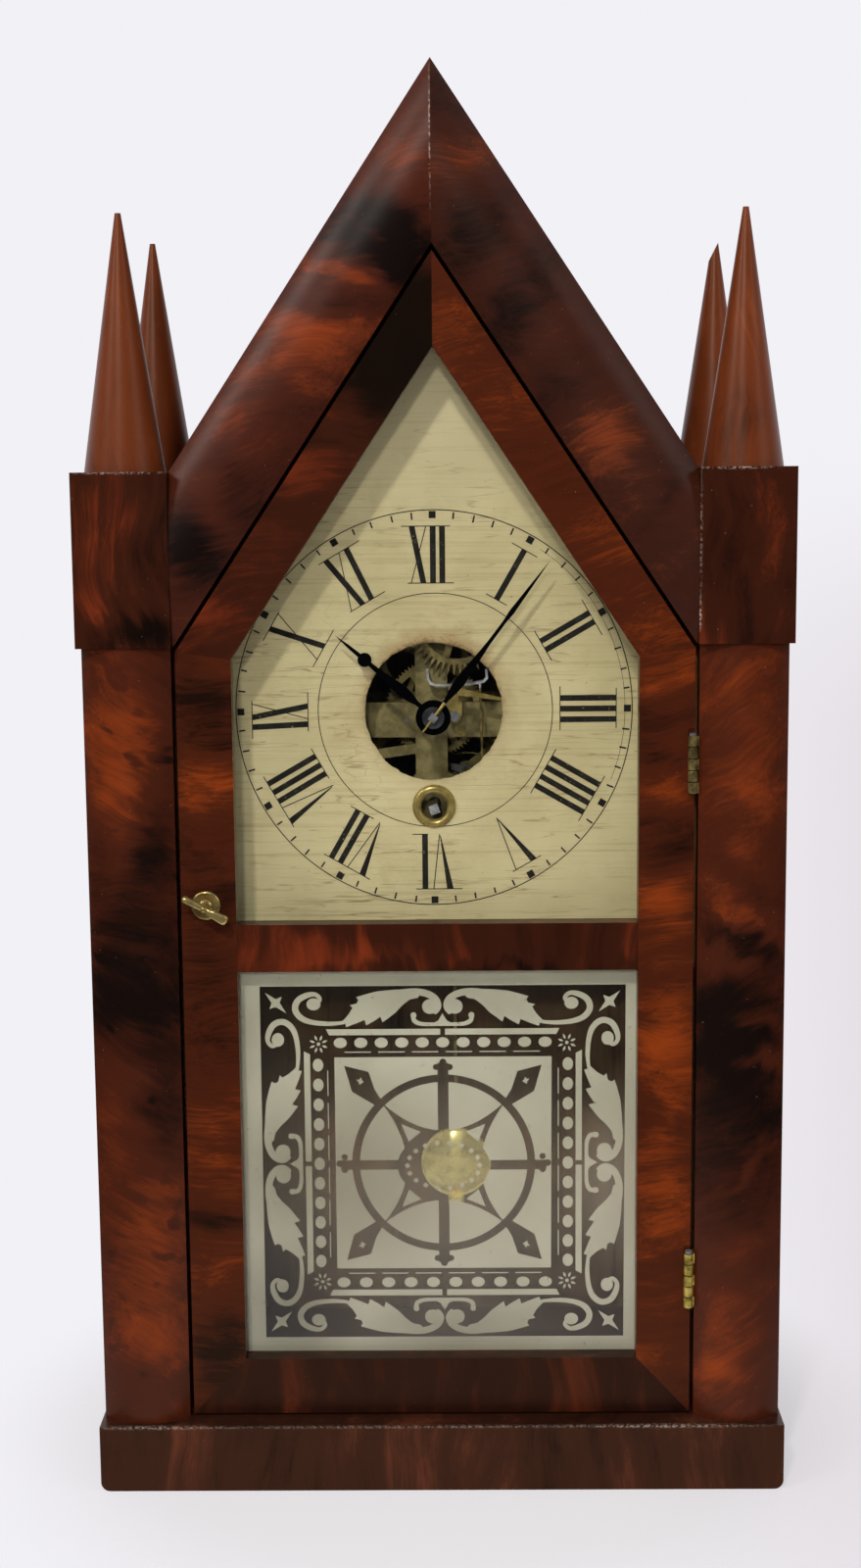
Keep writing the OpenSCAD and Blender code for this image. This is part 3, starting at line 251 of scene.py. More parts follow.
def wood(name, grain=0.0, seed=0.0, dark=(18, 8, 6), mid=(66, 26, 13), light=(146, 56, 20),
         clouds=0.3, bands=0.26, fine=0.27, patches=(), wear=(), gloss=0.3, knots=0.0,
         turn=None, along=1.0, amber=(1.0, 0.6, 0.34, 1)):
    """Polished veneer. The grain runs along X turned by `grain` degrees about
    Y, or by `turn`. A patch (centre, radii, tilt, amount) lightens or darkens,
    a worn spot is (centre, radii, amount), and amber tints the reflections."""
    s = Shader(name)
    angle = math.radians(grain)
    moved = s.place(s.coords, loc=(seed * 0.37, seed * 0.73, seed * 0.19))
    lined = s.lined_up(s.stir(moved, moved, 13.0, 0.04), turn or (0, angle, 0))

    def streaks(scale, loc, *shape):
        return s.noise(s.place(lined, scale=scale, loc=loc), 1.0, *shape)

    hair = streaks((16 * along, 620, 620), (3, 1, 2), 4.0, 0.62, 0.3)
    fibre = streaks((40 * along, 2100, 2100), (7, 2, 5), 3.0, 0.6)
    band = streaks((9 * along, 85, 85), (2, 8, 3), 2.0, 0.5, 0.3)
    mottle = streaks((60, 150, 150), (1, 4, 6), 2.0, 0.5, 0.3)
    tone = s.vary(0.5, s.noise(moved, 27.0, 2.0, 0.5, 0.4), clouds)
    for source, amount in ((band, bands), (mottle, 0.12), (hair, fine), (fibre, fine * 0.7)):
        tone = s.vary(tone, source, amount)
    # the patches' edges are frayed along the grain
    fray = s.vary(0.0, streaks((14, 200, 200), (0, 0, 0), 3.0), 0.022)
    way = (math.cos(angle), 0, -math.sin(angle))
    soft = s.stir(s.vec("ADD", s.coords, s.vec("SCALE", way, scale=fray)), moved, 40.0, 0.016)
    for centre, radii, tilt, amount in patches:
        tone = s.math("MULTIPLY_ADD", s.blob(soft, centre, radii, tilt), amount, tone)
    if knots:
        knot = s.range(streaks((70, 120, 120), (9, 9, 1), 1.0), 0.62, 0.74)
        tone = s.math("MULTIPLY_ADD", knot, -knots, tone)
    colour = s.ramp(tone, (0.12, dark), (0.5, mid), (0.88, light))
    colour = s.layer(colour, s.range(fibre, 0.60, 0.72), 0.22, [c * 0.45 for c in dark])
    rough = s.math("MULTIPLY_ADD", s.noise(s.coords, 55.0, 3.0), 0.12, gloss - 0.06)
    for centre, radii, amount in wear:
        grit = s.range(s.noise(s.coords, 800.0, 3.0, 0.7), 0.46, 0.58)
        mask = s.math("MULTIPLY", s.blob(s.coords, centre, radii), grit)
        colour = s.layer(colour, mask, amount, (190, 176, 162))
        rough = s.math("MULTIPLY_ADD", mask, 0.3, rough)
    specks = s.range(s.noise(s.place(s.coords, loc=(seed, 0, 0)), 1150.0, 1.0), 0.79, 0.82)
    colour = s.layer(colour, specks, 0.45, (150, 120, 100))
    normal = s.bump(s.noise(s.coords, 42.0, 2.0), 0.2, 0.0005)
    normal = s.bump(hair, 0.12, 0.00010, normal)
    return s.finish(base=colour, rough=rough, normal=normal, spec=0.22, tint=amber)


def pine(name, grain=(0, 90, 0), seed=0.0, base=(112, 80, 50), deep=(62, 40, 24)):
    """Plain softwood darkened by age, for the hidden boards."""
    s = Shader(name)
    start = s.place(s.coords, loc=(seed, seed * 0.3, seed * 0.7))
    along = s.lined_up(start, [math.radians(a) for a in grain])
    rings = s.noise(s.place(along, scale=(3, 90, 90)), 1.0, 3.0, 0.55, 0.6)
    fibre = s.noise(s.place(along, scale=(40, 900, 900)), 1.0, 3.0, 0.6)
    stain = s.range(s.noise(s.coords, 14.0, 4.0, 0.6), 0.5, 0.8)
    tone = s.math("MULTIPLY_ADD", fibre, 0.35, s.math("MULTIPLY", rings, 0.65))
    colour = s.ramp(tone, (0.25, deep), (0.55, base), (0.85, [int(c * 1.25) for c in base]))
    colour = s.layer(colour, stain, 1.0, [int(c * 0.6) for c in deep])
    return s.finish(base=colour, rough=0.72, normal=s.bump(tone, 0.4, 0.0003), spec=0.25)


def metal(name, base, dull, rough=0.32, seed=0.0, spots=0.5, bump=0.15, bare=1.0):
    """Aged metal: cloudy tarnish, rubbed highlights, small spots and scratches."""
    s = Shader(name)
    start = s.place(s.coords, loc=(seed, seed, seed * 0.5))
    cloud = s.noise(start, 160.0, 4.0, 0.6, 0.3)
    fine = s.noise(start, 1300.0, 2.0, 0.6)
    lines = s.noise(start, 300.0, 2.0, 0.6)
    colour = s.ramp(cloud, (0.3, dull), (0.68, base))
    colour = s.layer(colour, s.range(fine, 0.62, 0.75), spots, [int(c * 0.45) for c in dull])
    value = s.vary(s.math("MULTIPLY_ADD", cloud, -0.22, rough + 0.11), lines, 0.2)
    normal = s.bump(s.math("ADD", lines, fine), bump, 0.00006)
    return s.finish(base=colour, metal=bare, rough=value, normal=normal)


def two_tone(name, scale, axis, start, end, first, second, bare, rough):
    """Metal with one pair of colours before `start` and another after `end`."""
    s = Shader(name)
    cloud = s.noise(s.coords, scale, 3.0)
    near, far = (s.ramp(cloud, (0.3, dull), (0.7, bright)) for dull, bright in (first, second))
    colour = s.mix(s.range(s.axis(axis), start, end), near, far)
    return s.finish(base=colour, metal=bare, rough=rough, normal=s.bump(cloud, 0.2, 0.00005))


def hinge_brass():
    """Dull upper hinge, brighter lower one, with seams between the knuckles."""
    s = Shader("hinge_brass")
    upper_top, lower_top, knuckle = 0.281, 0.0884, 0.0042
    low = s.range(s.axis("Z"), 0.2, 0.14)
    cloud = s.noise(s.coords, 260.0, 4.0, 0.65)
    top = s.math("MULTIPLY_ADD", low, lower_top - upper_top, upper_top)
    down = s.math("SUBTRACT", top, s.axis("Z"))
    step = s.math("FRACT", s.math("MULTIPLY_ADD", down, 1 / knuckle, 0.5))
    seam = s.range(s.math("ABSOLUTE", s.math("SUBTRACT", step, 0.5)), 0.09, 0.03)
    dull = s.ramp(cloud, (0.35, (74, 62, 34)), (0.65, (140, 124, 74)))
    fresh = s.ramp(cloud, (0.35, (120, 102, 40)), (0.65, (206, 184, 92)))
    colour = s.layer(s.mix(low, dull, fresh), seam, 0.8, (36, 28, 14))
    height = s.math("SUBTRACT", s.math("MULTIPLY", s.noise(s.coords, 900.0, 3.0), 0.3), seam)
    return s.finish(base=colour, metal=0.6, rough=s.range(cloud, 0.3, 0.7, 0.46, 0.3),
                    normal=s.bump(height, 0.6, 0.00012))


def glass(name, haze=0.0, veil=()):
    """Thin old pane: see-through, with a weak reflection and a little dust.
    Each veil is (centre, radii, amount) of a soft milky patch, a painted reflection."""
    s = Shader(name)
    normal = s.bump(s.noise(s.coords, 22.0, 2.0), 0.35, 0.0004)
    clear = s.add("ShaderNodeBsdfTransparent", {0: (0.97, 0.985, 0.975, 1)})
    shine = s.add("ShaderNodeBsdfGlossy", {
        "Color": (1, 1, 1, 1), "Roughness": 0.04, "Normal": normal})
    facing = s.add("ShaderNodeLayerWeight", {"Blend": 0.5, "Normal": normal}).outputs["Facing"]
    edge = s.math("MULTIPLY_ADD", s.math("POWER", facing, 5.0), 0.9, 0.03)
    pane = s.blend(edge, clear, shine)
    if haze:
        film = s.add("ShaderNodeBsdfDiffuse", {0: (0.62, 0.53, 0.41, 1)})
        dust_and_painted_reflection = s.range(s.noise(s.coords, 9.0, 3.0), 0.3, 0.7, haze * 0.6, haze * 1.4)
        # the veil patches are a painted reflection that thickens the milky film
        for centre, radii, amount in veil:
            dust_and_painted_reflection = s.math("MULTIPLY_ADD", s.blob(s.coords, centre, radii), amount, dust_and_painted_reflection)
        pane = s.blend(dust_and_painted_reflection, pane, film)
    return s.surface(pane)


def frost():
    """Ground glass: pale, matt, lets a little of what is behind through."""
    s = Shader("frosted_glass")
    cloud = s.noise(s.coords, 16.0, 4.0, 0.6)
    grit = s.noise(s.coords, 1600.0, 2.0, 0.6)
    height = s.range(s.axis("Z"), 0.05, 0.195)
    colour = s.mix(height, srgb(192, 183, 166), srgb(201, 195, 175))
    colour = s.layer(colour, s.range(cloud, 0.35, 0.75), 1.0, (168, 161, 140))
    # painted light: the middle of the pattern is made a little lighter
    inner = s.blob(s.coords, (14, -42, 134), (40, 30, 40))
    colour = s.layer(colour, inner, 0.1, (220, 214, 200))
    # painted shade: darker patches over the middle, left side and bottom of the pattern
    for centre, radii, _, amount in spots(
            -42, 30, (-28, 110, 38, 44, 0, 0.55), (-58, 115, 13, 34, 0, 0.4),
            (-54, 64, 22, 26, 0, 0.8), (6, 56, 46, 14, 0, 0.55), (0, 183, 62, 11, 0, 0.3)):
        colour = s.layer(colour, s.blob(s.coords, centre, radii), amount, (112, 105, 86))
    specks = s.range(s.noise(s.coords, 700.0, 1.0), 0.74, 0.78)
    colour = s.layer(colour, specks, 0.4, (70, 62, 52))
    matt = s.principled(base=colour, rough=0.62, spec=0.3, normal=s.bump(grit, 0.3, 0.00005))
    through = s.add("ShaderNodeBsdfTransparent", {0: (0.9, 0.88, 0.82, 1)})
    return s.surface(s.blend(0.2, matt, through))


def painted_dial():
    """Cream paint on sheet metal: crackle along X, stains, brown by the hole, and painted light
    that makes its upper part lighter.
    """
    s = Shader("painted_dial")
    dx, dz = (s.math("SUBTRACT", s.axis(a), MM * c) for a, c in zip("XZ", HUB))
    dist = s.distance(dx, dz)
    cloud = s.noise(s.coords, 26.0, 4.0, 0.6)
    colour = s.ramp(cloud, (0.3, (184, 168, 126)), (0.7, (200, 184, 142)))
    lines = s.noise(s.place(s.coords, scale=(60, 400, 1500)), 1.0, 4.0, 0.7, 0.6)
    colour = s.layer(colour, s.range(lines, 0.60, 0.72), 0.34, (126, 106, 66))
    grain = s.noise(s.place(s.coords, scale=(9, 60, 1050), loc=(4, 0, 2)), 1.0, 2.0)
    colour = s.layer(colour, s.range(grain, 0.56, 0.66), 0.2, (132, 110, 68))
    flow = s.noise(s.place(s.coords, scale=(13, 60, 210)), 1.0, 3.0, 0.55, 0.2)
    line = s.range(s.math("ABSOLUTE", s.math("SUBTRACT", flow, 0.5)), 0.013, 0.003)
    fade = s.range(s.noise(s.coords, 45.0, 2.0), 0.40, 0.62, 0.1, 1.0)
    colour = s.layer(colour, s.math("MULTIPLY", line, fade), 0.62, (124, 98, 58))
    crack = s.add("ShaderNodeTexVoronoi", {
        "Vector": s.place(s.coords, scale=(110, 300, 330)), "Scale": 1.0},
        feature="DISTANCE_TO_EDGE").outputs[0]
    near = s.math("MULTIPLY", s.range(dist, 0.075, 0.03, 0.12, 1.0),
                  s.range(s.noise(s.coords, 30.0, 2.0), 0.42, 0.62))
    hair = s.math("MULTIPLY", s.range(crack, 0.035, 0.0), near)
    colour = s.layer(colour, hair, 0.34, (116, 90, 52))
    # painted light: the upper part of the dial is lighter, as if lit more from above
    colour = s.layer(colour, s.range(dz, 0.06, 0.11), 0.6, (216, 200, 162))
    # a brown stain round the hole, scorched at its rim, stronger above
    upper = s.range(dz, -0.012, 0.024, 0.25, 1.0)
    edge = s.math("MULTIPLY_ADD", s.noise(s.coords, 110.0, 4.0, 0.7), 0.012, dist)
    stain = s.math("MULTIPLY", s.range(edge, 0.0385, 0.0305), upper)
    colour = s.layer(colour, stain, 0.75, (142, 104, 58))
    edge = s.math("MULTIPLY_ADD", s.noise(s.coords, 420.0, 4.0, 0.75), 0.006, dist)
    burn = s.math("MULTIPLY", s.range(edge, 0.0300, 0.0278), upper)
    colour = s.layer(colour, burn, 0.85, (66, 36, 18))
    wide = s.range(s.noise(s.coords, 60.0, 4.0, 0.65), 0.60, 0.8)
    colour = s.layer(colour, wide, 0.35, (160, 134, 84))
    specks = s.range(s.noise(s.coords, 620.0, 1.0), 0.77, 0.81)
    colour = s.layer(colour, specks, 0.6, (96, 62, 34))
    height = s.math("SUBTRACT", s.math("MULTIPLY", lines, 0.4), hair)
    return s.finish(base=colour, rough=s.math("MULTIPLY_ADD", cloud, 0.2, 0.4),
                    normal=s.bump(height, 0.25, 0.00012), spec=0.35)


def black_paint():
    """Dial paint for the figures: flat black with a few lost flakes."""
    s = Shader("black_paint")
    flakes = s.range(s.noise(s.coords, 1100.0, 3.0, 0.6), 0.68, 0.72)
    tone = s.noise(s.coords, 300.0, 3.0)
    colour = s.ramp(tone, (0.3, (20, 18, 16)), (0.8, (40, 34, 28)))
    colour = s.layer(colour, flakes, 0.8, (180, 166, 124))
    return s.finish(base=colour, rough=0.55, spec=0.3, normal=s.bump(tone, 0.2, 0.00004))


def assign(mat, *names):
    """Gives CAD nodes their material."""
    for name in names:
        mesh = nodes[name].data
        mesh.materials.clear()
        mesh.materials.append(mat)


# ------------------------ wood

RED = dict(dark=(17, 8, 6), mid=(62, 24, 11), light=(124, 49, 12))
DEEP = dict(dark=(12, 6, 5), mid=(48, 19, 10), light=(108, 40, 17))
PILLAR_AMBER = (1.0, 0.8, 0.64, 1)
GABLE_AMBER = (1, 0.94, 0.9, 1)


def veneer(name, *names, **look):
    """Veneers the named nodes, or else the node that has the veneer's name."""
    assign(wood("veneer_" + name, **look), *(names or (name,)))


veneer("column_left", grain=28, seed=1.0, knots=0.22, fine=0.24, amber=PILLAR_AMBER, **RED,
       patches=spots(-55, 30,
    (-112, 284, 22, 30, 10, 0.20), (-116, 258, 12, 18, 10, 0.16), (-98, 276, 10, 40, 0, -0.14),
    (-104, 240, 9, 15, 0, -0.17), (-108, 236, 30, 28, 0, -0.16), (-106, 182, 24, 10, -8, -0.16),
    (-118, 150, 10, 26, 0, 0.06), (-101, 146, 16, 36, 0, -0.20), (-104, 112, 12, 30, -30, 0.14),
    (-108, 84, 26, 40, 0, 0.10), (-106, 60, 22, 22, 0, 0.14), (-108, 36, 26, 8, 12, -0.10))
       + spots(-55, 40,
    (-108, 196, 34, 42, 0, -0.34)))
veneer("column_right", grain=-30, seed=2.2, fine=0.24, amber=PILLAR_AMBER, **RED,
       patches=spots(-55, 30,
    (110, 292, 24, 20, 0, 0.12), (115, 262, 20, 16, -40, 0.20), (104, 232, 14, 18, -30, 0.14),
    (112, 228, 22, 6, -28, -0.16), (110, 206, 26, 7, -28, -0.26), (112, 214, 18, 5, -30, 0.14),
    (106, 192, 20, 9, -30, 0.12), (108, 180, 26, 22, 0, -0.34), (116, 176, 12, 6, -10, 0.26),
    (118, 163, 12, 4, -6, 0.26), (110, 140, 32, 58, 0, -0.30), (114, 122, 16, 2, 46, 0.16),
    (112, 90, 14, 5, 20, 0.16), (107, 62, 26, 34, 0, 0.12), (107, 46, 20, 8, -12, 0.10)))
veneer("gable_left", grain=-6, seed=3.1, gloss=0.36, bands=0.2, fine=0.32, amber=GABLE_AMBER,
       wear=[((-0.25, -55, 490), (0.4, 30, 26), 0.45)], **RED,
       patches=spots(-55, 30,
    (-17, 494, 7, 20, 30, 0.06), (-22, 474, 16, 8, 40, 0.03), (-9, 474, 6, 14, 0, 0.10),
    (-14, 457, 18, 20, 30, -0.40), (-30, 458, 14, 14, 30, -0.20),
    (-22, 456, 14, 3.0, -46, 0.16), (-34, 444, 18, 3.6, -24, 0.15),
    (-12, 443, 12, 11, 0, -0.24), (-24, 440, 22, 3.4, -16, 0.15), (-42, 437, 10, 4, -22, 0.08),
    (-32, 433, 26, 4.6, -12, -0.18), (-38, 424, 30, 10, -4, 0.27), (-52, 410, 28, 10, 0, 0.23),
    (-38, 411, 12, 7, 0, -0.06), (-53, 398, 16, 16, 40, -0.14), (-66, 392, 20, 14, 20, 0.14),
    (-80, 374, 14, 22, 35, 0.04), (-68, 372, 14, 18, 35, -0.18), (-86, 346, 15, 22, 30, -0.36)))
# The dark patches at (28, 428) and (44, 403), along the inner edge by the door, are partly dark
# figure and partly painted shade.
veneer("gable_right", grain=-14, seed=4.6, gloss=0.36, clouds=0.26, bands=0.2, fine=0.3,
       amber=GABLE_AMBER, dark=(15, 8, 6), mid=(52, 22, 12), light=(116, 48, 15),
       patches=spots(-55, 40,
    (6, 502, 14, 22, 0, -0.20), (12, 482, 18, 8, -6, 0.12))
       + spots(-55, 30,
    (19, 459, 14, 22, -30, -0.22), (8, 452, 12, 20, 0, -0.10), (40, 439, 8, 20, -34, 0.06),
    (28, 428, 12, 40, -34, -0.28), (44, 403, 10, 34, -34, -0.20), (54, 415, 9, 24, -34, 0.10),
    (62, 388, 14, 16, 0, 0.20), (85, 374, 9, 16, -34, -0.16), (76, 360, 5, 24, -44, -0.08),
    (86, 346, 4, 20, -40, 0.10)))
veneer("stile_left", "door_stile_left", grain=-3, seed=5.3, bands=0.4, fine=0.42,
       wear=[((-86, DOOR_FRONT, 322.8), (6, 3, 0.45), 0.9),
             ((-78.5, DOOR_FRONT, 321.4), (5, 3, 0.4), 0.7)],
       **RED,
       patches=spots(-50, 20,
    (-84, 314, 12, 8, 0, 0.12), (-82, 292, 20, 18, 0, -0.27), (-84, 264, 16, 10, 0, 0.26),
    (-82, 232, 20, 24, 0, -0.18), (-82, 190, 20, 28, 0, -0.20), (-82, 128, 20, 18, 0, 0.16),
    (-82, 102, 20, 7, 0, -0.26), (-82, 84, 20, 10, 0, 0.12), (-82, 50, 20, 18, 0, -0.32)))
veneer("stile_right", "door_stile_right", grain=-2, seed=6.4, bands=0.55, fine=0.36, **RED,
       patches=spots(-50, 20,
    (84, 312, 18, 12, 0, 0.08), (79, 289, 14, 7, 0, -0.10), (79, 271, 14, 9, 0, -0.15),
    (84, 261, 16, 6, 0, 0.18), (82, 243, 20, 12, 0, -0.2), (82, 222, 18, 10, 0, 0.20),
    (82, 206, 18, 12, 0, 0.12), (82, 168, 16, 22, 0, 0.18), (82, 118, 16, 32, 0, 0.16),
    (86, 52, 14, 22, 0, -0.06)))
veneer("gable_rail_left", grain=-8, seed=7.2, bands=0.3, **DEEP,
       patches=spots(-50, 20,
    (-14, 420, 30, 34, 0, -0.6), (-38, 396, 12, 6, 0, 0.12), (-40, 386, 16, 3, -10, -0.12),
    (-50, 376, 22, 10, 0, 0.24), (-66, 350, 20, 12, 0, 0.12), (-84, 326, 16, 12, 0, 0.20)))
veneer("gable_rail_right", grain=-20, seed=8.5, fine=0.4, **RED,
       patches=spots(-50, 20,
    (10, 424, 14, 20, 0, 0.10), (28, 402, 16, 12, 0, 0.12), (44, 378, 18, 10, 0, -0.02),
    (62, 352, 20, 14, 0, 0.14), (84, 320, 20, 14, 0, 0.12)))
veneer("mid_rail", grain=88, seed=9.7, bands=0.9, fine=0.2, along=0.8, **DEEP,
       patches=spots(-50, 20,
    (-34, 200, 52, 9, 0, 0.14), (20, 195, 80, 4, 0, -0.2)))
veneer("bottom_rail", grain=90, seed=10.4, bands=1.0, fine=0.2, along=0.8,
       dark=(9, 4, 3), mid=(33, 14, 9), light=(80, 33, 17),
       patches=spots(-50, 20,
    (-84, 34, 14, 12, 0, 0.1), (82, 36, 16, 12, 0, 0.1)))
veneer("plinth", "plinth_front", "plinth_sides", grain=90, seed=11.9, bands=0.8,
       fine=0.3, along=0.8,
       wear=[((0, -60, 25), (126, 1.6, 0.8), 0.25), ((-105, -60, 25), (26, 2.0, 1.0), 0.4),
             ((84, -60, 25), (34, 2.0, 1.0), 0.4)],
       dark=(14, 7, 5), mid=(48, 24, 16), light=(94, 48, 32))
veneer("caps", "cap_blocks", grain=90, seed=12.5, bands=1.0, fine=0.3, along=0.8,
       wear=[((-110, -57.7, GABLE_FOOT), (18, 1.6, 0.9), 0.4),
             ((106, -57.7, GABLE_FOOT), (16, 1.6, 0.9), 0.45),
             ((GABLE_HALF, -57.7, 350), (0.9, 1.6, 30), 0.22),
             ((GABLE_HALF, -57.7, 324), (0.9, 1.6, 6), 0.5)],
       **DEEP,
       patches=spots(-57, 20,
    (-112, 345, 12, 36, 0, 0.16), (120, 345, 8, 40, 0, 0.1), (-106, 321, 16, 7, 0, -0.3),
    (102, 346, 12, 40, 0, -0.14)))
assign(wood("turned_wood", grain=90, seed=13.4, dark=(40, 15, 7), mid=(92, 41, 17),
            light=(128, 62, 28), clouds=0.4, bands=0.6, along=0.5, gloss=0.34,
            amber=(1, 0.8, 0.66, 1)), "steeples", "steeple_broken")
assign(wood("carcase", grain=90, seed=14.8, bands=0.4, **DEEP), "side_boards")
assign(wood("carcase_roof", turn=(0, 0, math.radians(90)), seed=15.6, bands=0.4, **DEEP),
       "roof_boards")
assign(pine("back_pine", seed=1.3, base=(104, 78, 55), deep=(60, 42, 28)), "back_board")
assign(pine("floor_pine", grain=(0, 0, 0), seed=2.3, base=(80, 52, 32)), "floor_board")
assign(pine("batten_pine", seed=3.3), "dial_battens")
assign(pine("block_pine", seed=4.3, base=(120, 88, 56)), "movement_blocks")
assign(pine("bead_pine", seed=5.3, base=(84, 56, 36)), "glass_beads")


# ------------------------ metal and glass

assign(metal("plate_brass", (158, 142, 96), (110, 97, 62), 0.46, 1.0, bump=0.2, bare=0.4),
       "front_plate", "back_plate")
assign(metal("wheel_brass", (184, 164, 108), (108, 94, 60), 0.4, 2.0, bare=0.45),
       "hour_wheel", "minute_wheel", "centre_wheel", "third_wheel", "escape_wheel",
       "great_wheel", "pillars")
assign(metal("bright_brass", (205, 180, 112), (150, 126, 68), 0.28, 3.0, spots=0.3, bare=0.6),
       "grommet", "verge_keeper", "taper_pin", "verge_saddle", "dial_nails", "suspension_post")
assign(metal("bob_brass", (255, 238, 160), (232, 208, 132), 0.26, 4.0, spots=0.1, bare=0.45),
       "bob", "rating_nut")
assign(metal("old_brass", (158, 138, 92), (88, 72, 44), 0.36, 5.0, spots=0.7, bump=0.3, bare=0.6),
       "escutcheon", "turn_knob", "strike")
assign(hinge_brass(), "case_hinges", "door_hinges")
assign(metal("steel", (160, 160, 162), (104, 102, 102), 0.34, 6.0, bare=0.6),
       "movement_screws", "plate_studs", "hinge_pins", "centre_arbor", "click")
# the bent strip is polished, and the crutch wire below it is tarnished brass
assign(two_tone("verge_steel", 400.0, "Z", 0.2968, 0.2958, ((150, 150, 152), (222, 222, 226)),
                ((92, 78, 44), (160, 140, 84)), 0.5, 0.32), "verge")
assign(metal("rod_wire", (176, 160, 112), (112, 98, 62), 0.34, 6.9, bare=0.55), "pendulum_rod")
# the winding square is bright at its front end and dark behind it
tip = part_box("winding_arbor")[0].y
assign(two_tone("arbor_steel", 700.0, "Y", tip + 0.0003, tip + 0.0009,
                ((150, 150, 150), (206, 206, 204)), ((26, 22, 18), (58, 50, 40)), 0.6, 0.36),
       "winding_arbor")
assign(metal("collar_steel", (96, 96, 98), (52, 52, 54), 0.4, 6.6, bare=0.7), "hand_collar")
assign(metal("spring_steel", (74, 78, 84), (44, 46, 50), 0.34, 7.0), "mainspring")
assign(metal("blued_steel", (26, 28, 38), (14, 14, 20), 0.34, 8.0, spots=0.3),
       "hour_hand", "minute_hand")
assign(glass("upper_pane"), "upper_glass")
# the lower pane's veil patches are a painted reflection over its middle
assign(glass("lower_pane", haze=0.004, veil=[
    ((2, -42, 111), (62, 40, 54), 0.085), ((66, -42, 115), (18, 40, 34), 0.1),
    ((-60, -42, 120), (22, 40, 50), 0.025), ((4, -42, 56), (52, 40, 14), 0.025)]), "lower_glass")

dial_paint = painted_dial()
figures_paint = black_paint()
frost_mat = frost()
latch_brass = metal("latch_brass", (214, 190, 124), (146, 122, 70), 0.27, 5.5, spots=0.2,
                    bump=0.05, bare=0.85)


def soften(width, *names, segments=2, angle=32):
    """Small bevel on the edges that are sharper than `angle` degrees."""
    for name in names:
        mod = nodes[name].modifiers.new("soft_edge", "BEVEL")
        mod.width = width * MM
        mod.segments = segments
        mod.limit_method = "ANGLE"
        mod.angle_limit = math.radians(angle)


soften(0.7, "plinth_front", "plinth_sides", "cap_blocks")
soften(0.35, "column_left", "column_right", "gable_left", "gable_right", "side_boards",
       "roof_boards", "back_board", "door_stile_left", "door_stile_right", "gable_rail_left",
       "gable_rail_right", "mid_rail", "bottom_rail", angle=40)
soften(0.2, "hour_hand", "minute_hand", "front_plate", "back_plate", segments=1, angle=40)


# ------------------------ mesh helpers

def piece(name, verts, faces, mat, body, replaces=()):
    """Visible piece from millimetres, that rides on a body."""
    mesh = bpy.data.meshes.new(name)
    mesh.from_pydata([Vector(v) * MM for v in verts], [], faces)
    bm = bmesh.new()
    bm.from_mesh(mesh)
    bmesh.ops.recalc_face_normals(bm, faces=bm.faces)
    bm.to_mesh(mesh)
    bm.free()
    mesh.materials.append(mat)
    obj = placed(name, mesh)
    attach(obj, body)
    if replaces:
        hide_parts(*replaces)
    return obj


def sheet(name, shapes, y0, y1, mat, body, replaces=()):
    """Flat layer between depths y0 and y1. Shapes are (filled, outline) laid
    one over the other; a later shape hides what lies under it."""
    points, faces = [], []
    for _, outline in shapes:
        first = len(points)
        area = sum(a[0] * b[1] - b[0] * a[1] for a, b in zip(outline, outline[1:] + outline[:1]))
        points += [Vector(p) for p in (outline if area > 0 else outline[::-1])]
        faces.append(list(range(first, len(points))))
    out_points, _, out_faces, _, _, sources = delaunay_2d_cdt(points, [], faces, 1, 1e-4)
    kept = [f for f, src in zip(out_faces, sources) if src and shapes[max(src)][0]]
    used = sorted({i for f in kept for i in f})
    index = {old: new for new, old in enumerate(used)}
    n = len(used)
    verts = [(out_points[i][0], y, out_points[i][1]) for y in (y0, y1) for i in used]
    tris = [[index[i] for i in f] for f in kept]
    solid = tris + [[i + n for i in reversed(t)] for t in tris]
    edges = {(a, b): True for t in tris for a, b in zip(t, t[1:] + t[:1])}
    solid += [[b, a, a + n, b + n] for a, b in edges if (b, a) not in edges]
    return piece(name, verts, solid, mat, body, replaces=replaces)


def oval(x, z, rx, rz, n=20):
    return [(x + rx * math.cos(FULL * i / n), z + rz * math.sin(FULL * i / n))
            for i in range(n)]


def loft(rings, closed=False):
    """Skin over rings of points, with end caps or closed on itself."""
    n, count = len(rings[0]), len(rings)
    faces = [[j * n + i, j * n + (i + 1) % n, (j + 1) % count * n + (i + 1) % n,
              (j + 1) % count * n + i]
             for j in range(count if closed else count - 1) for i in range(n)]
    if not closed:
        faces += [list(range(n)), [(count - 1) * n + i for i in reversed(range(n))]]
    return [point for ring in rings for point in ring], faces


def lathe(profile, segments, closed=False):
    """Turned form about Y from a profile of (radius, along)."""
    turns = [FULL * i / segments for i in range(segments)]
    return loft([[(r * math.cos(a), y, r * math.sin(a)) for a in turns] for r, y in profile],
                closed)


def smooth_line(points, steps=6):
    """Catmull-Rom curve through the points."""
    pts = [Vector(p) for p in points]
    out = []
    for i in range(len(pts) - 1):
        p0, p1, p2 = pts[max(i - 1, 0)], pts[i], pts[i + 1]
        p3 = pts[min(i + 2, len(pts) - 1)]
        for k in range(steps):
            t = k / steps
            out.append(0.5 * ((2 * p1) + (p2 - p0) * t + (2 * p0 - 5 * p1 + 4 * p2 - p3) * t * t
                              + (3 * p1 - p0 - 3 * p2 + p3) * t ** 3))
    out.append(pts[-1])
    return out


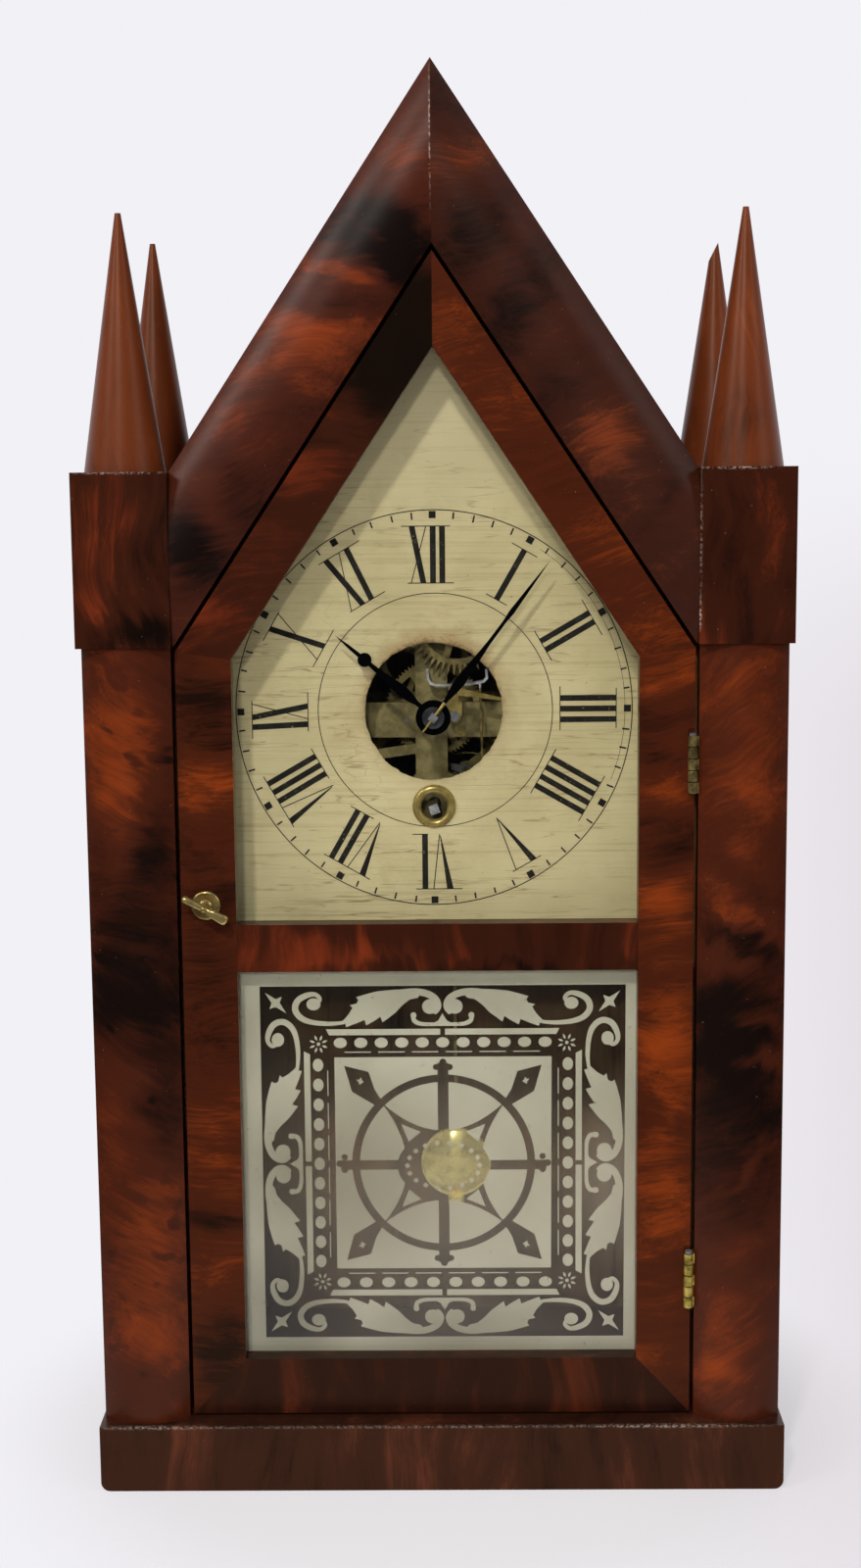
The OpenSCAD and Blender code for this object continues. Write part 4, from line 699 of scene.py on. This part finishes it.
def stroke(points, widths, steps=6):
    """Outline of a smooth band whose width follows `widths`."""
    line = smooth_line([(*p, 0) for p in points], steps)
    wide = [v[0] for v in smooth_line([(w, 0, 0) for w in widths], steps)]
    left, right = [], []
    for i, p in enumerate(line):
        d = (line[min(i + 1, len(line) - 1)] - line[max(i - 1, 0)]).normalized()
        n = Vector((-d.y, d.x, 0)) * wide[i] / 2
        left.append((p + n).xy)
        right.append((p - n).xy)
    return [tuple(p) for p in left + right[::-1]]


# ------------------------ dial

def dial_sheet():
    """Painted sheet with its ragged hole and the hole for the eyelet."""
    rng = random.Random(4)
    apex, half, low, thick = 436.0, 86.0, 200.0, 1.0
    hole_r, eyelet_r = 25.45, 6.25
    slope = (HEIGHT - GABLE_FOOT) / GABLE_HALF
    shoulder = apex - slope * half
    outline = [(-half, low), (half, low), (half, shoulder), (0, apex), (-half, shoulder)]
    n = 220
    wobble = [rng.uniform(-1, 1) for _ in range(n)]
    hole = []
    for i in range(n):
        a = FULL * i / n
        w = sum(wobble[(i + k) % n] for k in range(-2, 3)) / 5
        bite = 0.35 if math.sin(a) < -0.2 else 0.2
        r = hole_r + 0.12 * math.sin(3 * a + 1) + bite * w + 0.15 * wobble[i]
        hole.append((HUB[0] + r * math.cos(a), HUB[1] + r * math.sin(a)))
    eyelet = oval(HUB[0], ARBOR_Z - WINDING_DROP, eyelet_r, eyelet_r, 64)
    obj = sheet("dial_sheet", [(True, outline), (False, hole), (False, eyelet)],
                DIAL_Y, DIAL_Y + thick, dial_paint, "case", replaces=("dial_plate",))


def paint(name, shapes, high):
    """Figures `high` off the dial's face, just clear of it."""
    sheet(name, shapes, DIAL_Y - high, DIAL_Y - 0.005, figures_paint, "case")


def radial(degrees, radius, sideways):
    """Dial point at a radius, shifted sideways, as a clock counts degrees."""
    a = math.radians(degrees)
    return (DIAL_C[0] + radius * math.sin(a) + sideways * math.cos(a),
            DIAL_C[1] + radius * math.cos(a) - sideways * math.sin(a))


def bar(at, lo, hi, w_lo, w_hi, degrees):
    """A stroke from radius lo to hi; `at` is its sideways place at each end."""
    return [radial(degrees, lo, at[0] - w_lo / 2), radial(degrees, lo, at[0] + w_lo / 2),
            radial(degrees, hi, at[1] + w_hi / 2), radial(degrees, hi, at[1] - w_hi / 2)]


def serif(span, radius, degrees):
    """Hairline square to the strokes."""
    half = 0.17
    return [radial(degrees, radius + r, side) for r, side in
            ((-half, span[0]), (-half, span[1]), (half, span[1]), (half, span[0]))]


# Each numeral by its degrees: strokes as (kind, sideways at the inner end,
# sideways at the outer end), and the spans of its outer and inner serifs
NUMERALS = {
    0: ([("thick", -3.4, -7.6), ("thin", -7.9, -2.4), ("thick", 0.1, 0.1), ("thick", 3.5, 3.5)],
        (-11.4, 6.4), (-9.2, 7.8)),
    30: ([("thick", 0, 0)], (-5.3, 5.3), (-4.4, 4.4)),
    60: ([("thick", -1.85, -1.85), ("thick", 1.85, 1.85)], (-7.4, 7.6), (-6.4, 6.4)),
    90: ([("thick", -3.95, -3.95), ("thick", 0, 0), ("thick", 3.95, 3.95)],
         (-7.5, 7.3), (-8.3, 8.0)),
    120: ([("thick", -5.9, -5.9), ("thick", -1.97, -1.97), ("thick", 1.97, 1.97),
           ("thick", 5.9, 5.9)], (-9.7, 9.6), (-9.5, 9.4)),
    150: ([("wedge", 0.3, -3.6), ("thin", 0.4, 4.0)], (-6.7, 5.4), None),
    180: ([("wedge", -2.0, -5.6), ("thin", -1.7, 0.6), ("thick", 3.75, 3.75)],
          (-10.1, 7.2), (2.6, 8.4)),
    210: ([("wedge", -3.6, -7.3), ("thin", -3.3, -1.0), ("thick", 2.2, 2.2),
           ("thick", 6.0, 6.0)], (-10.6, 9.0), (-0.6, 9.2)),
    240: ([("wedge", -5.6, -9.0), ("thin", -5.3, -3.0), ("thick", -0.1, -0.3),
           ("thick", 3.6, 3.5), ("thick", 7.3, 7.3)], (-11.4, 10.6), (-2.4, 10.6)),
    270: ([("thick", -5.0, -6.0), ("thick", 1.7, -2.4), ("thin", -3.0, 2.6)],
          (-10.3, 3.8), (-7.7, 6.9)),
    300: ([("thick", 0.5, -3.8), ("thin", -5.1, 2.6)], (-8.9, 3.4), (-8.2, 7.4)),
    330: ([("thick", -2.8, -6.4), ("thin", -7.7, -0.7), ("thick", 0.9, 2.3)],
          (-9.4, 7.9), (-8.3, 6.6)),
}
# What each kind of stroke adds to the inner radius, and its width at both ends
STROKES = {"thick": (0, 2.15, 2.15), "thin": (0, 0.36, 0.36), "wedge": (0.6, 0.3, 2.45)}


def dial_figures():
    """Roman numerals, minute track and rings, as thin layers of paint."""
    inner, outer = 46.6, 67.3
    block_in, block_out, block_w = 70.15, 72.75, 2.55
    tick_in, tick_out, tick_w = 70.2, 72.6, 0.62
    shapes = []
    for degrees, (strokes, top, foot) in NUMERALS.items():
        for kind, a, b in strokes:
            lift, w_in, w_out = STROKES[kind]
            shapes.append(bar((a, b), inner + lift, outer, w_in, w_out, degrees))
        shapes.append(serif(top, outer, degrees))
        if foot:
            shapes.append(serif(foot, inner, degrees))
    rng = random.Random(9)
    for minute in range(60):
        degrees = minute * 6
        if minute % 5 == 0:
            degrees += rng.uniform(-0.5, 0.5)
            shapes.append(bar((0, 0), block_in, block_out, block_w, block_w, degrees))
        else:
            lo = tick_in + rng.uniform(-0.25, 0.25)
            at = (0, rng.uniform(-0.1, 0.1))
            degrees += rng.uniform(-0.25, 0.25)
            shapes.append(bar(at, lo, tick_out, tick_w, tick_w, degrees))
    paint("dial_figures", [(True, s) for s in shapes], 0.05)
    paint("dial_rings", [
        (filled, oval(*centre, r, r, n)) for filled, centre, r, n in (
            (True, DIAL_C, 73.4, 240), (False, DIAL_C, 73.03, 240),
            (True, (-0.2, 288.0), 43.46, 180), (False, (-0.2, 288.0), 43.16, 180))], 0.045)
    # a second, fainter line inside the track, from one to four o'clock
    arc = [radial(34 + k * 2.6, 70.55, 0) for k in range(31)]
    paint("dial_inner_arc", [(True, stroke(arc, [0.16] * len(arc), 2))], 0.04)


dial_sheet()
dial_figures()


# ------------------------ frosted tablet

def about(points, sx=1, sz=1):
    """Points given from the tablet's middle, mirrored by sx and sz."""
    return [(TAB_C.x + sx * x, TAB_C.y + sz * z) for x, z in points]


def block(x0, z0, x1, z1):
    return about([(x0, z0), (x1, z0), (x1, z1), (x0, z1)])


def turned(points, quarter, side=1):
    """A side's drawing (along the side, outwards) placed on side 0-3."""
    a = math.radians(-90 * quarter)
    return about([(side * s * math.cos(a) - t * math.sin(a),
                   side * s * math.sin(a) + t * math.cos(a)) for s, t in points])


def leaf_scroll():
    """Half of one side's acanthus scroll: stems, curled ends and the leaf."""
    return [
        stroke([(-47.2, 60.6), (-45.2, 62.8), (-46.9, 64.7), (-50.0, 64.4), (-53.4, 62.4),
                (-54.4, 59.0), (-52.3, 55.9), (-48.2, 54.2), (-42.0, 53.6), (-36.5, 54.0)],
               [1.2, 1.5, 1.6, 2.1, 2.3, 2.3, 2.2, 1.9, 1.6, 1.2]),
        oval(-47.6, 61.0, 2.6, 2.3),
        stroke([(-20.0, 64.2), (-13.0, 65.4), (-7.2, 65.2), (-3.0, 63.2), (-1.6, 60.0),
                (-3.0, 57.2)], [2.0, 2.6, 2.6, 2.6, 2.5, 1.4]),
        oval(-4.6, 59.9, 2.9, 2.8),
        [(-38.5, 53.2), (-36.2, 55.4), (-34.6, 57.2), (-33.2, 59.6), (-34.2, 60.6),
         (-31.6, 61.2), (-31.0, 62.6), (-31.8, 63.6), (-28.6, 64.6), (-24.0, 65.8),
         (-18.5, 66.3), (-12.0, 66.6), (-7.6, 66.1), (-9.0, 63.2), (-12.0, 62.6),
         (-14.8, 60.4), (-17.4, 57.6), (-19.8, 55.8), (-22.2, 54.0), (-22.9, 56.2),
         (-25.2, 54.6), (-28.2, 52.9), (-28.8, 55.0), (-31.4, 53.9), (-35.6, 52.3),
         (-36.0, 53.6)],
        stroke([(-10.8, 56.6), (-10.4, 54.6), (-8.0, 53.4), (-4.0, 53.2), (0.0, 53.2)],
               [1.5, 1.7, 1.5, 1.3, 1.3]),
        oval(-10.7, 56.6, 1.1, 1.2),
        [(-4.0, 53.3), (-1.6, 54.6), (0.0, 57.3), (0.0, 53.3)],
    ]


def corner_star(middle=61.6):
    tips = ((45, 5.6), (90, 1.5), (135, 3.3), (180, 1.5), (225, 5.6), (270, 1.5), (315, 3.3),
            (360, 1.5))
    return [(middle + r * math.cos(math.radians(a)), middle + r * math.sin(math.radians(a)))
            for a, r in tips]


def rosette(middle=Vector((45.9, 46.0))):
    """Eight petals round a button."""
    parts = []
    for i in range(8):
        a = math.radians(45 * i + 22.5)
        out, side = Vector((math.cos(a), math.sin(a))), Vector((-math.sin(a), math.cos(a)))
        parts.append([tuple(middle + p) for p in (
            out * 1.3, out * 2.4 + side * 0.5, out * 3.7, out * 2.4 - side * 0.5)])
    return parts + [oval(*middle, 0.7, 0.7, 12)]


def hollow_star():
    """Star with hollow sides, whose points meet the spears."""
    tips = [Vector(p) for p in ((23.3, 23.9), (23.3, -23.9), (-23.3, -23.9), (-23.3, 23.9))]
    mids = [Vector(p) for p in ((13.9, -0.9), (0.0, -14.3), (-13.7, -0.9), (0.0, 12.6))]
    steps = 14
    star = []
    for i, (a, m) in enumerate(zip(tips, mids)):
        b = tips[(i + 1) % 4]
        pull = m * 2 - (a + b) / 2
        for k in range(steps):
            t = k / steps
            star.append(tuple(a * (1 - t) ** 2 + pull * 2 * t * (1 - t) + b * t * t))
    return star


def tablet():
    """The frosted pattern, drawn from the photo with one half side repeated."""
    shapes = []

    def frosted(outline):
        shapes.append((True, outline))

    def cleared(outline):
        shapes.append((False, outline))

    frosted([(-73.2, 46.9), (73.2, 46.9), (73.2, 195.6), (-73.2, 195.6)])
    cleared(about([(-67.6, -67.8), (67.2, -67.8), (67.6, 67.8), (-67.4, 67.8)]))
    scroll = leaf_scroll()
    for q in range(4):
        for part in scroll:
            frosted(turned(part, q))
            frosted(turned(part, q, -1))
        # two mitred fillets, a row of beads and a row of dashes
        frosted(turned([(-42.0, 49.2), (-0.9, 49.2), (-0.9, 51.5), (-43.2, 51.5)], q))
        frosted(turned([(0.9, 49.2), (42.0, 49.2), (43.2, 51.5), (0.9, 51.5)], q))
        beads = 10 if q == 2 else 11
        for i in range(beads):
            frosted(turned(oval(-37.9 + 75.8 * i / (beads - 1), 46.3, 2.45, 1.95), q))
        for i in range(6):
            at = -37.4 + 75 * i / 6
            frosted(turned([(at + 1.0, 42.55), (at + 10.8, 42.55), (at + 10.8, 42.95),
                            (at + 1.0, 42.95)], q))
        for part in [corner_star()] + rosette():
            frosted(turned(part, q))
    frosted(about([(-40.3, -40.8), (40.0, -40.8), (40.3, 40.8), (-40.2, 40.8)]))
    # wheel
    cleared(oval(*TAB_C, 34.1, 34.1, 120))
    frosted(oval(*TAB_C, 31.2, 31.2, 120))
    cleared(about(hollow_star()))
    for sx, sz in QUADRANTS:
        frosted(about([(x, z - 0.9 * sz) for x, z in ((15.6, 16.0), (8.4, 13.0), (13.0, 9.2))],
                      sx, sz))
    cleared(about(oval(0, -0.9, 17.2, 12.5, 64)))
    for x, z in oval(0, -0.9, 13.5, 8.8, 18):
        frosted(about(oval(x, z, 1.1, 1.1, 4)))
    # cross bars with small trefoil ends
    cleared(block(-2.0, 11, 2.0, 38.5))
    cleared(block(-2.0, -38.5, 2.0, -11))
    cleared(block(-38.3, -2.4, -16, 1.3))
    cleared(block(16, -2.6, 38.3, 1.1))
    for q in range(4):
        for s, t, r in ((-2.5, 36.9, 1.2), (2.5, 36.9, 1.2), (0, 38.8, 1.3)):
            cleared(turned(oval(s, t, r, r, 16), q))
    # a spear with a small frosted cross in each quarter
    for sx, sz in QUADRANTS:
        cleared(about([(36.6, 37.6), (27.6, 35.2), (25.4, 28.4), (22.0, 22.8), (24.0, 21.6),
                       (28.6, 24.4), (33.8, 27.6)], sx, sz))
        frosted(about([(29.3, 31.4), (30.1, 31.9), (30.4, 33.2), (31.1, 32.2), (32.2, 32.3),
                       (31.2, 31.2), (31.2, 30.2), (30.3, 30.8)], sx, sz))
    obj = sheet("frosted_tablet", shapes, FROST_Y, FROST_Y + 0.05, frost_mat, "door")


tablet()


# ------------------------ latch

def on_latch(name, verts, faces, body, replaces):
    """Piece drawn about the latch's middle, with its quads shaded smooth."""
    verts = [(x + LATCH[0], y + DOOR_FRONT, z + LATCH[1]) for x, y, z in verts]
    obj = piece(name, verts, faces, latch_brass, body, replaces=(replaces,))
    mesh = obj.data
    mesh.polygons.foreach_set("use_smooth", [len(p.vertices) == 4 for p in mesh.polygons])


def latch_button():
    """Turn button of cast brass: a round lobe, a flat lobe, a boss, the spindle
    with its riveted end, and the tongue inside the door."""
    spin = Matrix.Rotation(math.radians(LATCH_TILT), 3, "Y")
    mid = -7.3

    def tube(stations, around=24, power=1.0):
        """Solid along X from (x, half depth, half height)."""
        def unit(value):
            return math.copysign(abs(value) ** power, value)
        turns = [FULL * j / around for j in range(around)]
        return loft([[tuple(spin @ Vector((x, mid + deep * unit(math.sin(b)),
                                           high * unit(math.cos(b))))) for b in turns]
                     for x, deep, high in stations])

    round_lobe = []
    for i in range(17):
        t = i / 16
        swell = math.sqrt(1 - (1 - t / 0.16) ** 2) if t < 0.16 else 1.0
        girth = max(0.04, swell) * (1 - 0.22 * max(0.0, (t - 0.3) / 0.7))
        round_lobe.append((-8.9 + 9.2 * t, 1.6 * girth, 1.4 * girth))
    flat_lobe = [(-0.4, 0.9, 1.0), (1.6, 1.2, 1.1), (1.9, 1.5, 1.25), (4.2, 1.6, 1.45),
                 (7.2, 1.6, 1.68), (8.3, 1.5, 1.72), (9.0, 1.3, 1.5), (9.4, 1.0, 1.1),
                 (9.6, 0.5, 0.6)]
    boss = [(0.01, -9.0), (0.7, -8.95), (1.0, -8.7), (1.05, -7.6), (1.6, -6.8), (1.7, -2.8),
            (2.0, -2.4), (2.65, -2.2), (2.65, -1.3), (2.0, -1.2), (2.0, 13.3), (0.01, 13.3)]
    tongue = [(-1.8, 0.0), (1.8, 0.0), (1.8, -13.0), (1.2, -13.4), (-1.2, -13.4), (-1.8, -13.0)]
    tongue_rings = [[tuple(spin @ Vector((x, y, z))) for x, z in tongue] for y in (12.4, 14.0)]
    verts, faces = [], []
    for part_verts, part_faces in (tube(round_lobe), tube(flat_lobe, power=0.45),
                                   lathe(boss, 40), loft(tongue_rings)):
        faces += [[i + len(verts) for i in face] for face in part_faces]
        verts += part_verts
    on_latch("latch_button", verts, faces, "latch", "turn_knob")


def latch_plate():
    """Dished round plate under the button, bored for its spindle."""
    profile = [(2.2, -0.1), (2.2, -0.35), (2.5, -0.5), (3.1, -0.42), (3.8, -0.62), (4.5, -0.86),
               (5.0, -0.72), (5.3, -0.4), (5.4, 0.0)]
    on_latch("latch_plate", *lathe(profile, 56, closed=True), "door", "escutcheon")


latch_plate()
latch_button()


# ------------------------ stage and light

def stage():
    """Pale floor that fades into the backdrop, and is dark in reflections."""
    mesh = bpy.data.meshes.new("floor")
    half = 3.0
    mesh.from_pydata([(-half, -half, 0), (half, -half, 0), (half, half, 0), (-half, half, 0)],
                     [], [(0, 1, 2, 3)])
    floor = placed("floor", mesh)
    s = Shader("floor")
    away = s.distance(s.axis("X"), s.axis("Y"))
    path = s.add("ShaderNodeLightPath").outputs
    far = s.math("MULTIPLY", s.range(away, 0.16, 0.42), path["Is Glossy Ray"])
    paper = s.mix(far, srgb(236, 232, 234), srgb(40, 38, 38))
    diffuse = s.add("ShaderNodeBsdfDiffuse", {0: paper})
    clear = s.add("ShaderNodeBsdfTransparent")
    seen = s.math("MAXIMUM", path["Is Camera Ray"], path["Is Transmission Ray"])
    fade = s.math("MULTIPLY_ADD", s.ease(away, 0.11, 0.20), 0.5, 0.5)
    mesh.materials.append(s.surface(s.blend(s.math("MULTIPLY", fade, seen), diffuse, clear)))


def world():
    """Studio backdrop: one look for the camera, one for reflections, one that
    lights the clock."""
    s = Shader("studio", world=True)
    bpy.context.scene.world = s.owner
    # painted shadow: the camera's backdrop is darker towards the right and low down
    right, low = s.ease(s.axis("X"), 0.06, 0.24), s.ease(s.axis("Z"), 0.04, -0.12)
    painted_shadow = s.math("MULTIPLY", right, low)
    wall = s.mix(painted_shadow, srgb(242, 241, 246), srgb(228, 222, 227))
    seen = s.add("ShaderNodeBackground", {0: wall})
    mirror = s.add("ShaderNodeBackground", {
        0: srgb(243, 242, 247), 1: s.ease(s.axis("Y"), -0.55, 0.45, 0.012)})
    light = s.add("ShaderNodeBackground", {0: (0.95, 0.97, 1.0, 1), 1: 0.34})
    path = s.add("ShaderNodeLightPath").outputs
    look = s.math("MAXIMUM", path["Is Camera Ray"], path["Is Transmission Ray"])
    s.surface(s.blend(look, s.blend(path["Is Glossy Ray"], light, mirror), seen))


def lamp(name, place, target, size, power, colour=(1, 1, 1), glossy=True):
    """Square lamp; one that isn't glossy leaves no highlight."""
    data = bpy.data.lights.new(name, "AREA")
    data.shape = "RECTANGLE"
    data.size = data.size_y = size
    data.energy = power
    data.color = colour
    obj = placed(name, data)
    obj.location = place
    obj.visible_glossy = glossy
    direction = Vector(target) - Vector(place)
    obj.rotation_euler = direction.to_track_quat("-Z", "Y").to_euler()


stage()
world()
# Two nearly frontal lamps give the dial its double shadow, and a wide one from
# the left gives the sheen on the left gable
lamp("high", (-0.36, -1.55, 1.45), (0, 0, 0.25), 0.12, 17.0, (1.0, 0.97, 0.93))
lamp("low", (-0.14, -2.0, 0.84), (0, 0, 0.26), 0.12, 12.0, (1.0, 0.98, 0.95), glossy=False)
lamp("side", (-1.3, -0.95, 1.3), (0, 0, 0.3), 0.55, 9.0, (1.0, 0.97, 0.93))
lamp("right", (1.4, -0.9, 1.0), (0, 0, 0.25), 0.8, 3.5)

scene = bpy.context.scene
scene.view_settings.view_transform = "Standard"
